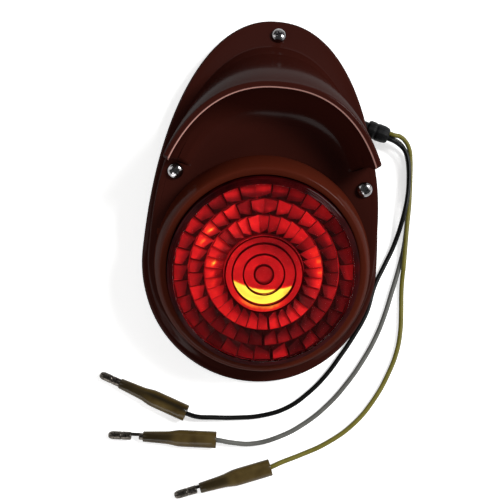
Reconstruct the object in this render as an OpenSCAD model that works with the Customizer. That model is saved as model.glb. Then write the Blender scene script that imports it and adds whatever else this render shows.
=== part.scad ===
// Motorcycle tail light: painted nacelle with a visor, round red lens, and three bullet leads
// Underside of the rubber gasket at z = 0, visor end towards +Y, lens end towards -Y

/* [Base] */
// Half width of the base outline
base_half_w = 56.5; // [55:0.5:58]
// Centre of the round lower end of the base, measured along Y
base_round_y = -34.5; // [-35:0.5:-34]
// Length of the base outline from that centre to its pointed end
base_reach = 125.5; // [124:0.5:127]
// Fullness of the pointed end, where 2 is an ellipse
base_fullness = 2.17; // [2.1:0.01:2.25]
// Thickness of the rubber gasket
gasket_t = 3; // [2.5:0.25:3.5]
// Thickness of the steel base plate
plate_t = 1.5; // [1.2:0.1:1.8]
// Distance between the two mounting bolts
bolt_spacing = 60; // [50:5:65]
// Diameter of the bolt holes
bolt_hole_d = 6.5; // [6.2:0.1:6.8]

/* [Housing] */
// Tilt of the lens face from level
tilt = 23; // [21:0.5:25]
// Place of the front wall's centre along Y
wall_y = -36.6; // [-37.4:0.2:-35.8]
// Height of the front wall's centre
wall_z = 25; // [24.5:0.25:26]
// Half width of the front wall
wall_half_w = 53; // [52:0.5:54]
// Length of the front wall from its centre to the visor end
wall_reach = 83.6; // [82:0.2:85]
// Fullness of the visor end of the front wall, where 2 is an ellipse
wall_fullness = 2.6; // [2.5:0.05:2.7]
// Thickness of the painted shell
shell_t = 2.5; // [2.2:0.1:2.8]
// Height of the skirt at the pointed end
skirt_h = 12; // [11:0.5:13]
// Width of the shoulder at the pointed end
shoulder_w = 13; // [11:0.5:14]
// Height of the visor edge above the front wall
visor_h = 20; // [18:0.5:21]
// How much wider the visor's edge is than the front wall, at each side
visor_flare = 3.4; // [2.5:0.1:4]
// Angle round the front wall at which the visor starts
visor_start = 33; // [32:0.5:34]

/* [Lamp] */
// Height of the painted drum above the front wall
drum_h = 20; // [19:0.5:21]
// Outer radius of the drum at the front wall
drum_r = 50; // [49.5:0.25:50.2]
// Radius of the lens
lens_r = 43; // [42.5:0.25:43.2]
// Height of the lens face above the front wall
lens_h = 27; // [26:0.5:28]
// Prisms in each ring of the lens
prism_count = 32; // [24:2:36]
// Height of the bulb's axis above the front wall
bulb_h = 8; // [7:0.5:9]
// Travel of the spring contacts
push_travel = 2.5; // [2:0.25:2.5]
// Turn of the bulb in its bayonet slots, in degrees
twist_turn = 18; // [15:1:20]

/* [Leads] */
// Diameter of each lead
lead_d = 2.3; // [2.1:0.1:2.4]
// Diameter of the bullet terminals
bullet_d = 3.9; // [3.8:0.05:4]
// Length of the insulating sleeves
sleeve_len = 34.5; // [33:0.5:36]
// Radius of a sleeve at its wire end
sleeve_r_back = 3.8; // [3.6:0.1:4]
// Radius of a sleeve at its bullet end
sleeve_r_front = 2.45; // [2.4:0.05:2.6]

/* [Hidden] */
$fn = 64;

eps = 0.01;
gap = 0.3;
maroon = [0.25, 0.07, 0.06];
lens_red = [0.85, 0.08, 0.06];
steel = [0.70, 0.71, 0.72];
brass = [0.78, 0.66, 0.34];
black_rubber = [0.09, 0.09, 0.09];
brown_card = [0.45, 0.28, 0.16];
pvc = [0.42, 0.38, 0.26];
black_wire = [0.06, 0.06, 0.06];
grey_wire = [0.55, 0.56, 0.54];
yellow_wire = [0.62, 0.60, 0.24];

// Bolts and screws
bolt_mid_y = 5;
nut_h = 5;
nut_across = 13;
screw_r = 1.95;
screw_hole_r = 2.05;
screw_head_r = 3.6;
screw_head_h = 2.6;
pan_side_h = 0.8;
base_screw_head_r = 3.8;
base_screw_x = 44;
base_screw_y = -36.6;
boss_r = 5;
boss_h = 12;
pillar_r = 3.4;
base_screw_len = 12;
panel_screw_len = 11;
hood_screw_len = 8.5;
cross_reach = 1.9;
cross_w = 0.8;
panel_boss_r = 4.6;
panel_boss_back = 14;
hood_screw_y = 82.4;
panel_screw_x = 43.8;
panel_screw_p = 38.6;
insert_r = 2.9;
insert_len = 7;

// Shell section
panel_t = 2.6;
visor_t = 3;
ledge_w = 3;
ledge_back = -5;
fillet_side = 6;
fillet_top = 10;
visor_ramp = 2.5;
visor_skew = 2;
visor_lift = 0.6;
visor_fullness = 2.28;
plate_inset = 4;
gasket_lip = 8;

// Lamp parts, as radii and heights above the front wall
drum_mouth_r = 45.6;
drum_bore_r = 45.9;
mouth_bore_r = 43.5;
lip_back = 17;
flange_r = 45.6;
flange_front = 16;
flange_back = 13.5;
lens_wall = 2.6;
ring_radii = [17.6, 26.1, 33.3, 39.6];
groove_radii = [4.2, 9.1, 14.0, 17.2];
prism_depth = 1.6;
prism_tip = 0.25;
bowl_r = 43;
bowl_rim_h = 11.4;
bowl_depth = 21.4;
bowl_t = 1.2;
ring_h = 10.4;
ring_r = 0.9;
ring_mouth = 30;
wire_hole_s = 34.5;
wire_hole_r = 5;
rivet_x = 9;
rivet_p = 23;
earth_barrel_p = 26.6;
earth_barrel_h = -1.45;
earth_barrel_len = 3.7;

// Bulb and holder, measured along the bulb's axis towards the visor
glass_r = 9.25;
glass_tip = -17;
cap_r = 7.5;
cap_start = 3;
cap_end = 18;
pin_r = 1;
pin_reach = 8.6;
pin_places = [[0, 11.5], [180, 8.5]];
socket_bore_r = 7.85;
socket_r = 8.85;
socket_mouth = 5.5;
socket_end = 29.5;
pin_room = 0.35;
carrier_start = 18.9;
carrier_t = 2.5;
plunger_x = 3.2;

// Boot, where the leads leave the housing
boot_angle = 36;
boot_sunk = 0.8;
boot_z = 7.9;
boot_turn = -15.5;
boot_len = 14;
boot_hole_r = 3.2;
boot_fit = 0.12;
boot_back = 7.2;
boot_collar_r = 3.5;

function se_rho(a, n) = pow(pow(abs(cos(a)), n) + pow(abs(sin(a)), n), 1 / n);
// Point on an outline that is round below and a superellipse above
function outline_pt(a, w, cy, reach, n, inset) =
  a < 0 ? [(w - inset) * cos(a), cy + (w - inset) * sin(a)]
  : [(w - inset) * cos(a) / se_rho(a, n), cy + (reach - inset) * sin(a) / se_rho(a, n)];
function base_pt(a, inset) = outline_pt(a, base_half_w, base_round_y, base_reach, base_fullness, inset);
function wall_pt(a, inset) = outline_pt(a, wall_half_w, 0, wall_reach, wall_fullness, inset);
function visor_pt(a, inset) =
  outline_pt(a, wall_half_w + visor_flare, 0, wall_reach + visor_lift, visor_fullness, inset);
function to_world(q, h) =
  [q.x, wall_y + q.y * cos(tilt) - h * sin(tilt), wall_z + q.y * sin(tilt) + h * cos(tilt)];
function clamp01(v) = max(0, min(1, v));
function mix(a, b, t) = a + (b - a) * t;
// Point at a height above the front wall, where the visor leans out to its flared edge
function visor_world(a, inset, h) =
  to_world(mix(wall_pt(a, inset), visor_pt(a, inset), a < 0 ? 0 : clamp01(h / visor_h)), h);
function bezier(a, b, c, d, t) =
  a * pow(1 - t, 3) + b * 3 * t * pow(1 - t, 2) + c * 3 * t * t * (1 - t) + d * pow(t, 3);

// Angles round the shell, closer together where the visor's ends rise
ramp_steps = [-4, 0, 0.25, 0.5, 1, 1.5, 2.5];
function side_angles(start) =
  concat([for (a = [0:5:start - 6]) a], [for (s = ramp_steps) start + s], [for (a = [40:5:90]) a]);
right_angles = side_angles(visor_start + visor_skew);
left_angles = side_angles(visor_start - visor_skew);
shell_angles = concat([for (a = [-175:5:-5]) a], right_angles,
  [for (i = [len(left_angles) - 2:-1:0]) 180 - left_angles[i]]);

// How far the visor has risen at an angle, from 0 at its end to 1
function from_end(a) = min(a - visor_skew, 180 - a + visor_skew) - visor_start;
function rise(a) = let (s = clamp01(from_end(a) / visor_ramp)) a < 0 ? 0 : sqrt(1 - pow(1 - s, 2));
function up(a) = a < 0 ? 0 : sin(a);
// Depth of the rounded rim, less where the front wall comes down to the gasket
function rim_depth(a) = mix(0.3, 1, clamp01((to_world(wall_pt(a, 0), 0).z - 4) / 8));
function skirt_top(a) =
  min(skirt_h + 3.5 * pow(cos(a), 2), mix(gasket_t, to_world(wall_pt(a, 0), -rim_depth(a)).z, 0.6));
function fillet_w(a) = rise(a) * (fillet_side + fillet_top * pow(up(a), 2));
function hollow(a) = max(0.15, clamp01((to_world(wall_pt(a, 0), 0).z - 6) / 10));
function at_z(q, z) = [q.x, q.y, z];
function floor_z(p, z) = [p.x, p.y, max(p.z, z)];

hood_steps = 8;
fillet_steps = 6;
inner_steps = 3;

// Closed section of the shell at one angle, from the outer foot over the visor and back inside
function section(a) =
  let (
    top = skirt_top(a),
    r = rise(a),
    h = visor_h * r,
    inner = visor_t + fillet_w(a),
    shoulder_in = 2 + (shoulder_w - 2) * pow(up(a), 2),
    round_r = min(2, 0.4 * (top - gasket_t)),
    c = at_z(base_pt(a, shoulder_in), top + 0.3 * up(a)),
    t = visor_world(a, 0, h - rim_depth(a)),
    c1 = mix(c, [t.x, t.y, c.z + 0.06 * (t.z - c.z)], 0.22),
    c2 = mix(t, [c.x, c.y, mix(t.z, c.z, 0.62)], 0.34),
    ledge_h = max(ledge_back, (gasket_t + 0.6 - to_world(wall_pt(a, inner + ledge_w), 0).z) / cos(tilt)),
    l2 = to_world(wall_pt(a, inner + ledge_w), ledge_h),
    w = hollow(a),
    q = to_world(wall_pt(a, visor_t + 0.5 + 2 * r), ledge_h - 1 + 12.5 * r),
    roof = max(gasket_t + 0.4, top - shell_t),
    d = at_z(base_pt(a, max(shell_t + 0.4, shoulder_in - 1)), roof),
    e = at_z(base_pt(a, shell_t + 0.1), roof - 0.2),
    foot = [l2.x, l2.y, gasket_t],
    dd = floor_z(mix(foot + [0, 0, 0.25], d, w), gasket_t + 0.25),
    ee = floor_z(mix(foot + [0, 0, 0.12], e, w), gasket_t + 0.12),
    qq = floor_z(mix(l2, q, w), gasket_t + 0.3)
  )
  concat(
    [at_z(base_pt(a, 0), gasket_t), at_z(base_pt(a, 0), top - round_r),
     at_z(base_pt(a, 0.3 * round_r), top - 0.3 * round_r), at_z(base_pt(a, round_r), top)],
    [for (k = [0:hood_steps - 1]) bezier(c, c1, c2, t, k / hood_steps)],
    [t, visor_world(a, 0.6, h), visor_world(a, visor_t - 0.7, h),
      visor_world(a, visor_t, h - 0.5 * r - 0.2)],
    [for (k = [1:fillet_steps]) let (s = 90 * k / fillet_steps)
      visor_world(a, visor_t + 0.01 * k + fillet_w(a) * (1 - cos(s)),
        (h - 0.7 * r) * (1 - sin(s)) - 0.2 - 0.33 * k * (1 - r))],
    [to_world(wall_pt(a, inner + 0.1), -panel_t), to_world(wall_pt(a, inner + ledge_w), -panel_t), l2,
     floor_z(mix(l2, to_world(wall_pt(a, inner + 0.6), ledge_h), w), gasket_t + 0.4)],
    [qq],
    [for (k = [1:inner_steps - 1]) mix(qq, dd, k / inner_steps)],
    [dd, ee, mix(foot, at_z(base_pt(a, shell_t), gasket_t), w)]
  );

// Solid ring skinned over closed sections that stand side by side
module skin_ring(rows) {
  n = len(rows);
  m = len(rows[0]);
  pts = [for (r = rows) each r];
  faces = [for (i = [0:n - 1]) for (j = [0:m - 1])
    let (i2 = (i + 1) % n, j2 = (j + 1) % m)
    each [[i * m + j, i * m + j2, i2 * m + j], [i * m + j2, i2 * m + j2, i2 * m + j]]];
  polyhedron(points = pts, faces = faces, convexity = 10);
}

module front_frame() {
  translate([0, wall_y, wall_z]) rotate([tilt, 0, 0]) children();
}
module bulb_frame() {
  front_frame() translate([0, 0, bulb_h]) rotate([-90, 0, 0]) children();
}
module base_outline(inset) {
  polygon([for (a = shell_angles) base_pt(a, inset)]);
}
module both_sides() {
  children();
  mirror([1, 0, 0]) children();
}

module base_gasket() {
  color(black_rubber) {
    difference() {
      linear_extrude(gasket_t) base_outline(0);
      translate([0, 0, -1]) linear_extrude(gasket_t + 2) base_outline(gasket_lip);
      translate([0, 0, gasket_t - plate_t]) linear_extrude(gasket_t) base_outline(plate_inset - 0.1);
    }
  }
}

module base_plate() {
  color(steel) difference() {
    union() {
      translate([0, 0, gasket_t - plate_t]) linear_extrude(plate_t) base_outline(plate_inset);
      translate([0, hood_screw_y - 0.5, gasket_t - eps])
        cylinder(r = pillar_r, h = skirt_h - shell_t - gasket_t - gap);
    }
    for (s = [-1, 1]) translate([0, bolt_mid_y + s * bolt_spacing / 2, 0])
      cylinder(d = bolt_hole_d, h = 10);
    translate([0, hood_screw_y, 0]) cylinder(r = screw_hole_r, h = 20);
    both_sides() translate([base_screw_x, base_screw_y, gasket_t - plate_t - eps])
      cylinder(r1 = base_screw_head_r + 0.1, r2 = 2.4, h = plate_t + 2 * eps);
  }
}

module weld_nuts() {
  color(steel) for (s = [-1, 1]) translate([0, bolt_mid_y + s * bolt_spacing / 2, gasket_t]) difference() {
    union() {
      cylinder(d = nut_across / cos(30), h = nut_h - 0.6, $fn = 6);
      cylinder(d = nut_across, h = nut_h);
    }
    translate([0, 0, -1]) cylinder(d = bolt_hole_d, h = nut_h + 2);
  }
}

module base_screws() {
  color(steel) both_sides() translate([base_screw_x, base_screw_y, gasket_t - plate_t]) difference() {
    union() {
      cylinder(r1 = base_screw_head_r, r2 = screw_r, h = base_screw_head_r - screw_r);
      cylinder(r = screw_r, h = base_screw_len);
    }
    cross_recess(1.2);
  }
}

// Cross recess of a Phillips screw, cut upwards from z = 0
module cross_recess(depth) {
  for (turn = [0, 90]) rotate(turn) translate([-cross_reach, -cross_w / 2, -eps])
    cube([2 * cross_reach, cross_w, depth]);
}

module housing() {
  color(maroon) difference() {
    union() {
      skin_ring([for (a = shell_angles) section(a)]);
      both_sides() translate([base_screw_x, base_screw_y, gasket_t]) {
        cylinder(r = boss_r, h = boss_h);
        translate([0, -1.5, 0]) cube([base_half_w - shell_t + 0.5 - base_screw_x, 3, boss_h]);
      }
      both_sides() front_frame() translate([panel_screw_x, panel_screw_p, -panel_boss_back])
        cylinder(r = panel_boss_r, h = panel_boss_back - 0.1 - panel_t);
    }
    both_sides() translate([base_screw_x, base_screw_y, 0])
      cylinder(r = screw_hole_r, h = base_screw_len + 2);
    both_sides() translate([base_screw_x, base_screw_y, gasket_t - eps])
      cylinder(r1 = 2.5, r2 = 2, h = 0.5);
    both_sides() front_frame() translate([panel_screw_x, panel_screw_p, 1.5 - panel_boss_back])
      cylinder(r = insert_r, h = panel_boss_back - 1.5);
    translate([0, hood_screw_y, gasket_t + 1]) cylinder(r = screw_hole_r, h = 20);
    boot_frame() translate([0, 0, -8]) cylinder(r = boot_hole_r, h = 16);
  }
}

module front_panel() {
  color(maroon) front_frame() {
    difference() {
      union() {
        translate([0, 0, -panel_t + 0.05]) linear_extrude(panel_t - 0.05)
          polygon([for (a = shell_angles) wall_pt(a, visor_t + gap + fillet_w(a))]);
        rotate_extrude($fn = 96)
          polygon(concat([[drum_bore_r - 1, 0]], drum_profile(), [[drum_bore_r - 1, drum_h]]));
      }
      translate([0, 0, -10]) cylinder(r = drum_bore_r, h = 10 + lip_back, $fn = 96);
      translate([0, 0, lip_back - 1]) cylinder(r = mouth_bore_r, h = 10, $fn = 96);
      both_sides() translate([panel_screw_x, panel_screw_p, -10]) cylinder(r = 2.2, h = 20);
      translate([0, 0, ring_h]) rotate_extrude($fn = 96)
        translate([drum_bore_r - 0.3, 0]) circle(r = ring_r + 0.1);
    }
  }
}

// Outer side of the drum, a quarter ellipse with a small foot fillet
function drum_profile() = concat(
  [[drum_r, 0]],
  [for (s = [8:8:80]) [drum_mouth_r + (drum_r - drum_mouth_r) * cos(s), drum_h * sin(s)]],
  [[drum_mouth_r, drum_h]]);

module panel_inserts() {
  color(brass) front_frame() both_sides() translate([panel_screw_x, panel_screw_p, -panel_t - insert_len])
    difference() {
      cylinder(r = insert_r - 0.02, h = insert_len);
      translate([0, 0, -1]) cylinder(r = screw_hole_r, h = insert_len + 2);
    }
}

// Pan head screw with its seat at z = 0 and its head above
module pan_screw(len) {
  difference() {
    union() {
      translate([0, 0, -len]) cylinder(r = screw_r, h = len + 0.5);
      rotate_extrude() polygon(concat([[0, 0], [screw_head_r, 0]],
        [for (s = [0:15:75]) [screw_head_r * cos(s), pan_side_h + (screw_head_h - pan_side_h) * sin(s)]],
        [[0, screw_head_h]]));
    }
    translate([0, 0, screw_head_h - 1.5]) cross_recess(3);
  }
}

module panel_screws() {
  color(steel) front_frame() both_sides()
    translate([panel_screw_x, panel_screw_p, 0]) pan_screw(panel_screw_len);
}

module hood_screw() {
  color(steel) translate([0, hood_screw_y, skirt_h + 0.45]) pan_screw(hood_screw_len);
}

// One ring of V-shaped prisms on the inner side of the lens face
module prism_ring(r_in, r_out) {
  half = PI * r_in / prism_count * 0.92;
  prism = [[-half, 0], [-prism_tip, -prism_depth], [prism_tip, -prism_depth], [half, 0]];
  for (i = [0:prism_count - 1]) rotate(360 * i / prism_count)
    translate([r_in + 0.2, 0, lens_h - lens_wall + eps]) rotate([90, 0, 90])
      linear_extrude(r_out - r_in - 0.5) polygon(prism);
}

module lens() {
  color(lens_red) front_frame() difference() {
    union() {
      rotate_extrude($fn = 96) polygon([
        [0, lens_h - lens_wall], [lens_r - lens_wall, lens_h - lens_wall],
        [lens_r - lens_wall, flange_back],
        [flange_r - 0.1, flange_back], [flange_r - 0.1, flange_front], [lens_r, flange_front],
        [lens_r, lens_h - 2.4], [lens_r - 0.8, lens_h - 2.2], [lens_r - 0.9, lens_h - 1.5],
        [lens_r - 1.7, lens_h - 1.3], [lens_r - 1.8, lens_h - 0.6], [lens_r - 2.6, lens_h - 0.4],
        [lens_r - 3.1, lens_h], [0, lens_h]]);
      for (k = [0:2]) prism_ring(ring_radii[k], ring_radii[k + 1]);
    }
    for (r = groove_radii) translate([0, 0, lens_h]) rotate_extrude($fn = 96)
      polygon([[r - 0.35, 1], [r - 0.35, 0], [r, -0.6], [r + 0.35, 0], [r + 0.35, 1]]);
    for (r = ring_radii) if (r > 20) translate([0, 0, lens_h - lens_wall - 2]) rotate_extrude($fn = 96)
      polygon([[r - 0.3, 0], [r + 0.3, 0], [r + 0.3, 2], [r, 2.4], [r - 0.3, 2]]);
  }
}

module lens_seal() {
  color(black_rubber) front_frame() translate([0, 0, flange_front]) difference() {
    cylinder(r = drum_bore_r - 0.1, h = lip_back - flange_front, $fn = 96);
    translate([0, 0, -1]) cylinder(r = lens_r + 0.3, h = 3, $fn = 96);
  }
}

function bowl_h(r) = bowl_rim_h - bowl_depth * (1 - pow(r / bowl_r, 4));

module reflector() {
  radii = [for (k = [0:12]) bowl_r * k / 12];
  color([0.85, 0.85, 0.83]) front_frame() difference() {
    union() {
      rotate_extrude($fn = 96) polygon(concat(
        [for (r = radii) [r, bowl_h(r)]],
        [[bowl_r, flange_back], [flange_r - 0.1, flange_back], [flange_r - 0.1, bowl_rim_h],
         [flange_r - 1.3, bowl_rim_h]],
        [for (k = [12:-1:0]) [radii[k] + bowl_t * k / 12 * 0.9, bowl_h(radii[k]) - bowl_t]]));
      translate([-13, 18, -9.8]) cube([26, 10, 4.8]);
    }
    for (x = [-rivet_x, rivet_x]) translate([x, rivet_p, -20]) cylinder(r = 1.65, h = 30);
    translate([0, wire_hole_s, -20]) cylinder(r = wire_hole_r, h = 40);
  }
}

module retaining_ring() {
  color(steel) front_frame() translate([0, 0, ring_h]) rotate(90 + ring_mouth / 2)
    rotate_extrude(angle = 360 - ring_mouth, $fn = 96)
      translate([drum_bore_r - 0.35, 0]) circle(r = ring_r, $fn = 20);
}

module socket_bracket() {
  color(steel) front_frame() difference() {
    union() {
      translate([-12, 19, -5]) cube([24, 8, 1.2]);
      translate([-6, 19, -4]) cube([12, 8, 4]);
      translate([0, 19, bulb_h]) rotate([-90, 0, 0]) cylinder(r = socket_r + 1.1, h = 8);
    }
    translate([0, 10, bulb_h]) rotate([-90, 0, 0]) cylinder(r = socket_r + 0.02, h = 25);
    for (x = [-rivet_x, rivet_x]) translate([x, rivet_p, -20]) cylinder(r = 1.65, h = 30);
  }
}

module socket_rivets() {
  color(steel) front_frame() for (x = [-rivet_x, rivet_x]) translate([x, rivet_p, 0]) {
    translate([0, 0, -10.5]) cylinder(r = 1.6, h = 7.5);
    translate([0, 0, -3.79]) cylinder(r1 = 2.6, r2 = 1.8, h = 1.1);
    translate([0, 0, -10.91]) cylinder(r1 = 1.9, r2 = 2.5, h = 1.1);
  }
}

module bulb_socket() {
  color(steel) bulb_frame() difference() {
    translate([0, 0, socket_mouth]) cylinder(r = socket_r, h = socket_end - socket_mouth - 1.5);
    translate([0, 0, socket_mouth - 1]) cylinder(r = socket_bore_r, h = 40);
    for (p = pin_places) bayonet_slot(p[0], p[1]);
  }
}

// Slot for one bayonet pin: straight in from the mouth, then round to the rest place
module bayonet_slot(turn, place) {
  side = pin_r + pin_room;
  spread = asin(side / socket_bore_r) + 0.5;
  rotate(turn) {
    rotate(-twist_turn - spread) rotate_extrude(angle = twist_turn + 2 * spread)
      translate([socket_bore_r - 1, place - side]) square([3, push_travel + 2 * side]);
    rotate(-twist_turn) translate([2, -side, socket_mouth - 1])
      cube([socket_r, 2 * side, place - socket_mouth + 1]);
  }
}

module socket_end_cap() {
  color(steel) bulb_frame() translate([0, 0, socket_end - 1.5]) difference() {
    cylinder(r = socket_r, h = 1.5);
    for (x = [-plunger_x, plunger_x]) translate([x, 0, -1]) cylinder(r = 1.5, h = 4);
  }
}

module contact_carrier() {
  color(brown_card) bulb_frame() translate([0, 0, carrier_start]) difference() {
    cylinder(r = cap_r, h = carrier_t);
    for (x = [-plunger_x, plunger_x]) translate([x, 0, -1]) cylinder(r = 1.6, h = carrier_t + 2);
  }
}

module contact_plungers() {
  color(brass) bulb_frame() for (x = [-plunger_x, plunger_x]) translate([x, 0, carrier_start]) {
    translate([0, 0, -0.1]) cylinder(r = 1.58, h = carrier_t + 1.1);
  }
}

// Points along a helix with flat ends
spring_r = 5.6;
spring_turns = 4;
spring_start = carrier_start + carrier_t + 0.6;
spring_len = socket_end - 1.5 - spring_start - 0.6;
function spring_pt(t) = let (turn = 360 * spring_turns * t)
  [spring_r * cos(turn), spring_r * sin(turn), spring_start + spring_len * t];

module contact_spring() {
  color(steel) bulb_frame() tube([for (t = [0:1 / 48:1]) spring_pt(t)], 0.45, 6);
}

module bulb_glass() {
  steps = 10;
  in_r = glass_r - 0.7;
  in_tip = glass_tip + 0.7;
  turns = [for (k = [0:steps]) 90 - 90 * k / steps];
  outer = [for (s = turns) [glass_r * cos(s), glass_tip + glass_r * (1 - sin(s))]];
  inner = [for (k = [steps:-1:0]) [in_r * cos(turns[k]), in_tip + in_r * (1 - sin(turns[k]))]];
  color([0.9, 0.9, 0.88, 0.5]) bulb_frame() rotate_extrude() polygon(concat(outer,
    [[glass_r, -4], [8.6, 0], [6.9, 2], [6.9, cap_start + 2]],
    [[6.1, cap_start + 2], [6.1, 2], [7.9, 0], [in_r, -4]], inner));
}

module bulb_cap() {
  color(brass) bulb_frame() {
    difference() {
      translate([0, 0, cap_start]) cylinder(r = cap_r, h = cap_end - cap_start);
      translate([0, 0, cap_start - 1]) cylinder(r = 7, h = cap_end - cap_start - 1);
      for (x = [-plunger_x, plunger_x]) translate([x, 0, cap_end - 3]) cylinder(r = 1.7, h = 4);
    }
    for (p = pin_places) rotate(p[0]) translate([cap_r - 0.6, 0, p[1]]) rotate([0, 90, 0])
      cylinder(r = pin_r, h = pin_reach - cap_r + 0.6);
  }
}

module bulb_contacts() {
  color([0.6, 0.6, 0.6]) bulb_frame() for (x = [-plunger_x, plunger_x]) translate([x, 0, cap_end - 1.99])
    cylinder(r = 1.65, h = 2.45);
}

// Glass bead with two filaments on their support wires
module bulb_filaments() {
  color([0.75, 0.75, 0.72]) bulb_frame() {
    translate([0, 0, cap_start + 2]) cylinder(r = 4, h = 10.5);
    for (x = [-3, 3]) {
      for (y = [-2.4, 2.4]) translate([x, y, -6]) cylinder(r = 0.3, h = 12);
      translate([x, -2.7, -6]) rotate([-90, 0, 0]) cylinder(r = 0.35, h = 5.4);
    }
  }
}

module earth_terminal() {
  color(brass) front_frame() {
    translate([rivet_x, rivet_p, -2.65]) difference() {
      union() {
        cylinder(r = 2.9, h = 0.8);
        translate([-1.2, 0, 0]) cube([2.4, earth_barrel_p + 0.5 - rivet_p, 0.8]);
      }
      translate([0, 0, -1]) cylinder(r = 0.8, h = 3);
    }
    translate([rivet_x, earth_barrel_p, earth_barrel_h]) rotate([-90, 0, 0])
      cylinder(r = 1.2, h = earth_barrel_len);
  }
}

// Smooth curve through points, as a list with a number of parts to each stretch
function cr(a, b, c, d, t) = 0.5 * (2 * b + (c - a) * t
  + (2 * a - 5 * b + 4 * c - d) * t * t + (3 * b - a - 3 * c + d) * pow(t, 3));
function smooth(p, parts) = let (n = len(p)) concat(
  [for (i = [0:n - 2]) for (k = [0:parts - 1])
    cr(p[max(i - 1, 0)], p[i], p[i + 1], p[min(i + 2, n - 1)], k / parts)], [p[n - 1]]);
function unit(v) = v / norm(v);
function run_dir(p, i) = unit(p[min(i + 1, len(p) - 1)] - p[max(i - 1, 0)]);
// A side direction square to the run that turns with it as little as possible
function side_dirs(p, i = 0, last = [0, 0, 1], out = []) =
  i == len(p) ? out
  : let (d = run_dir(p, i), s = unit(last - d * (last * d))) side_dirs(p, i + 1, s, concat(out, [s]));

// Tube of one diameter along a list of points
module tube(p, r, sides = 8) {
  n = len(p);
  ups = side_dirs(p);
  rings = [for (i = [0:n - 1]) let (d = run_dir(p, i), u = ups[i], v = cross(d, u))
    for (k = [0:sides - 1]) p[i] + r * (cos(360 * k / sides) * u + sin(360 * k / sides) * v)];
  walls = [for (i = [0:n - 2]) for (k = [0:sides - 1]) let (k2 = (k + 1) % sides)
    let (low = i * sides, high = low + sides)
    each [[low + k, high + k, low + k2], [low + k2, high + k, high + k2]]];
  ends = [[for (k = [0:sides - 1]) k], [for (k = [sides - 1:-1:0]) (n - 1) * sides + k]];
  polyhedron(points = rings, faces = concat(walls, ends), convexity = 10);
}

// Sleeve ends: place of the wire end, heading of the bullet, and how far the bullet stands out
sleeve_slope = atan((sleeve_r_back - sleeve_r_front) / sleeve_len);
plug_black = [[-28.29, -108.78], 160.8, 10.6];
plug_grey = [[-12.98, -119.9], 182.2, 16.4];
plug_yellow = [[13.69, -130.28], 200.9, 12.4];
bullet_len = 22;
bell_r = 2.8;
bell_len = 6;
neck_r = 1.7;
neck_end = 13;
function crimp_x(plug) = sleeve_len + plug[2] - bullet_len;
function plug_pt(plug, x) = [plug[0].x + x * cos(sleeve_slope) * cos(plug[1]),
  plug[0].y + x * cos(sleeve_slope) * sin(plug[1]), sleeve_r_back + 0.02 - x * sin(sleeve_slope)];
module plug_frame(plug) {
  translate([plug[0].x, plug[0].y, sleeve_r_back + 0.02]) rotate([0, sleeve_slope, plug[1]]) children();
}

lead_r = lead_d / 2;
boot_base = at_z(base_pt(boot_angle, boot_sunk), boot_z);
boot_wall_run = base_pt(boot_angle + 1, 0) - base_pt(boot_angle - 1, 0);
boot_wall_turn = atan2(-boot_wall_run.x, boot_wall_run.y);
boot_dir = [cos(boot_turn), sin(boot_turn), 0];
boot_side = [-sin(boot_turn), cos(boot_turn), 0];
boot_tip = boot_base + boot_dir * boot_len;
exit_black = boot_tip - 1.45 * boot_side + [0, 0, 0.6];
exit_grey = boot_tip - [0, 0, 1.5];
exit_yellow = boot_tip + 1.45 * boot_side + [0, 0, 0.6];
// Frame along the boot's axis, and frame square to the wall at the boot
module boot_frame() {
  translate(boot_base) rotate([0, 0, boot_turn]) rotate([0, 90, 0]) children();
}
module boot_wall_frame() {
  translate(boot_base) rotate([0, 0, boot_wall_turn]) children();
}

// Routes of the leads over the table, from the boot to the sleeves
route_black = [[65.4, 33.5, 7.3], [68.5, 30.8, 6.9], [70.4, 26.8, 6.5], [71.4, 21, 6.1],
  [71.7, 12.7, 6], [71.3, 5.4, 5.9], [70.4, -1.3, 5.3], [69.3, -7.5, 3.9], [67.9, -13.7, 2.3],
  [65.9, -20.1, 1.4], [62.7, -28, 1.2], [58.4, -38.8, 1.2], [55.1, -52.7, 1.2], [48.9, -65.7, 1.2],
  [43.3, -75.4, 1.2], [37.3, -84.7, 1.2], [29.2, -94.1, 1.2], [19.6, -101.9, 1.2], [7.9, -106.6, 1.2],
  [-4.4, -108.7, 1.5], [-15.9, -109.6, 3], [-23, -109.9, 3.85]];
route_grey = [[66.3, 34.9, 4.6], [69.2, 32.3, 3.1], [71.1, 28.5, 1.9], [72.2, 23.5, 1.25],
  [72.7, 15.1, 1.2], [72.9, 6.7, 1.2], [72.9, -2.1, 1.2], [72.6, -10.9, 1.2], [71.9, -18.7, 1.2],
  [70.7, -25.5, 1.2], [69.3, -32.2, 1.2], [67.3, -40.5, 1.2], [64.4, -52.3, 1.2], [60.8, -63.3, 1.2],
  [55.1, -75.5, 1.2], [47.8, -87.6, 1.2], [39.3, -98.6, 1.2], [28.8, -108.4, 1.2], [16.8, -115.9, 1.25],
  [4.2, -120.2, 1.9], [-5.4, -120.5, 3]];
route_yellow = [[65.7, 37.5, 7.6], [69.1, 35.2, 6.6], [71.3, 31.7, 5.4], [72.3, 26.8, 4.4],
  [72.8, 19.7, 3.75], [73, 11.3, 3.65], [73, 2.5, 3.65], [72.6, -5.8, 3.65], [72.3, -14.1, 3.65],
  [72.1, -21.7, 3.6], [72, -28.2, 3.1], [71.9, -34.6, 1.9], [72, -41.6, 1.25], [72.4, -50.5, 1.2],
  [72.5, -60, 1.2], [71.2, -70.4, 1.2], [67.8, -81, 1.2], [61.4, -94.3, 1.2], [52, -107, 1.2],
  [39.5, -117.1, 1.3], [26.9, -123.8, 2.2], [18.5, -127.7, 3.3]];

function lead_route(exit, route, plug) = concat([exit, exit + 2.6 * boot_dir], route,
  [plug_pt(plug, 0), plug_pt(plug, crimp_x(plug) / 2), plug_pt(plug, crimp_x(plug))]);

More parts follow.
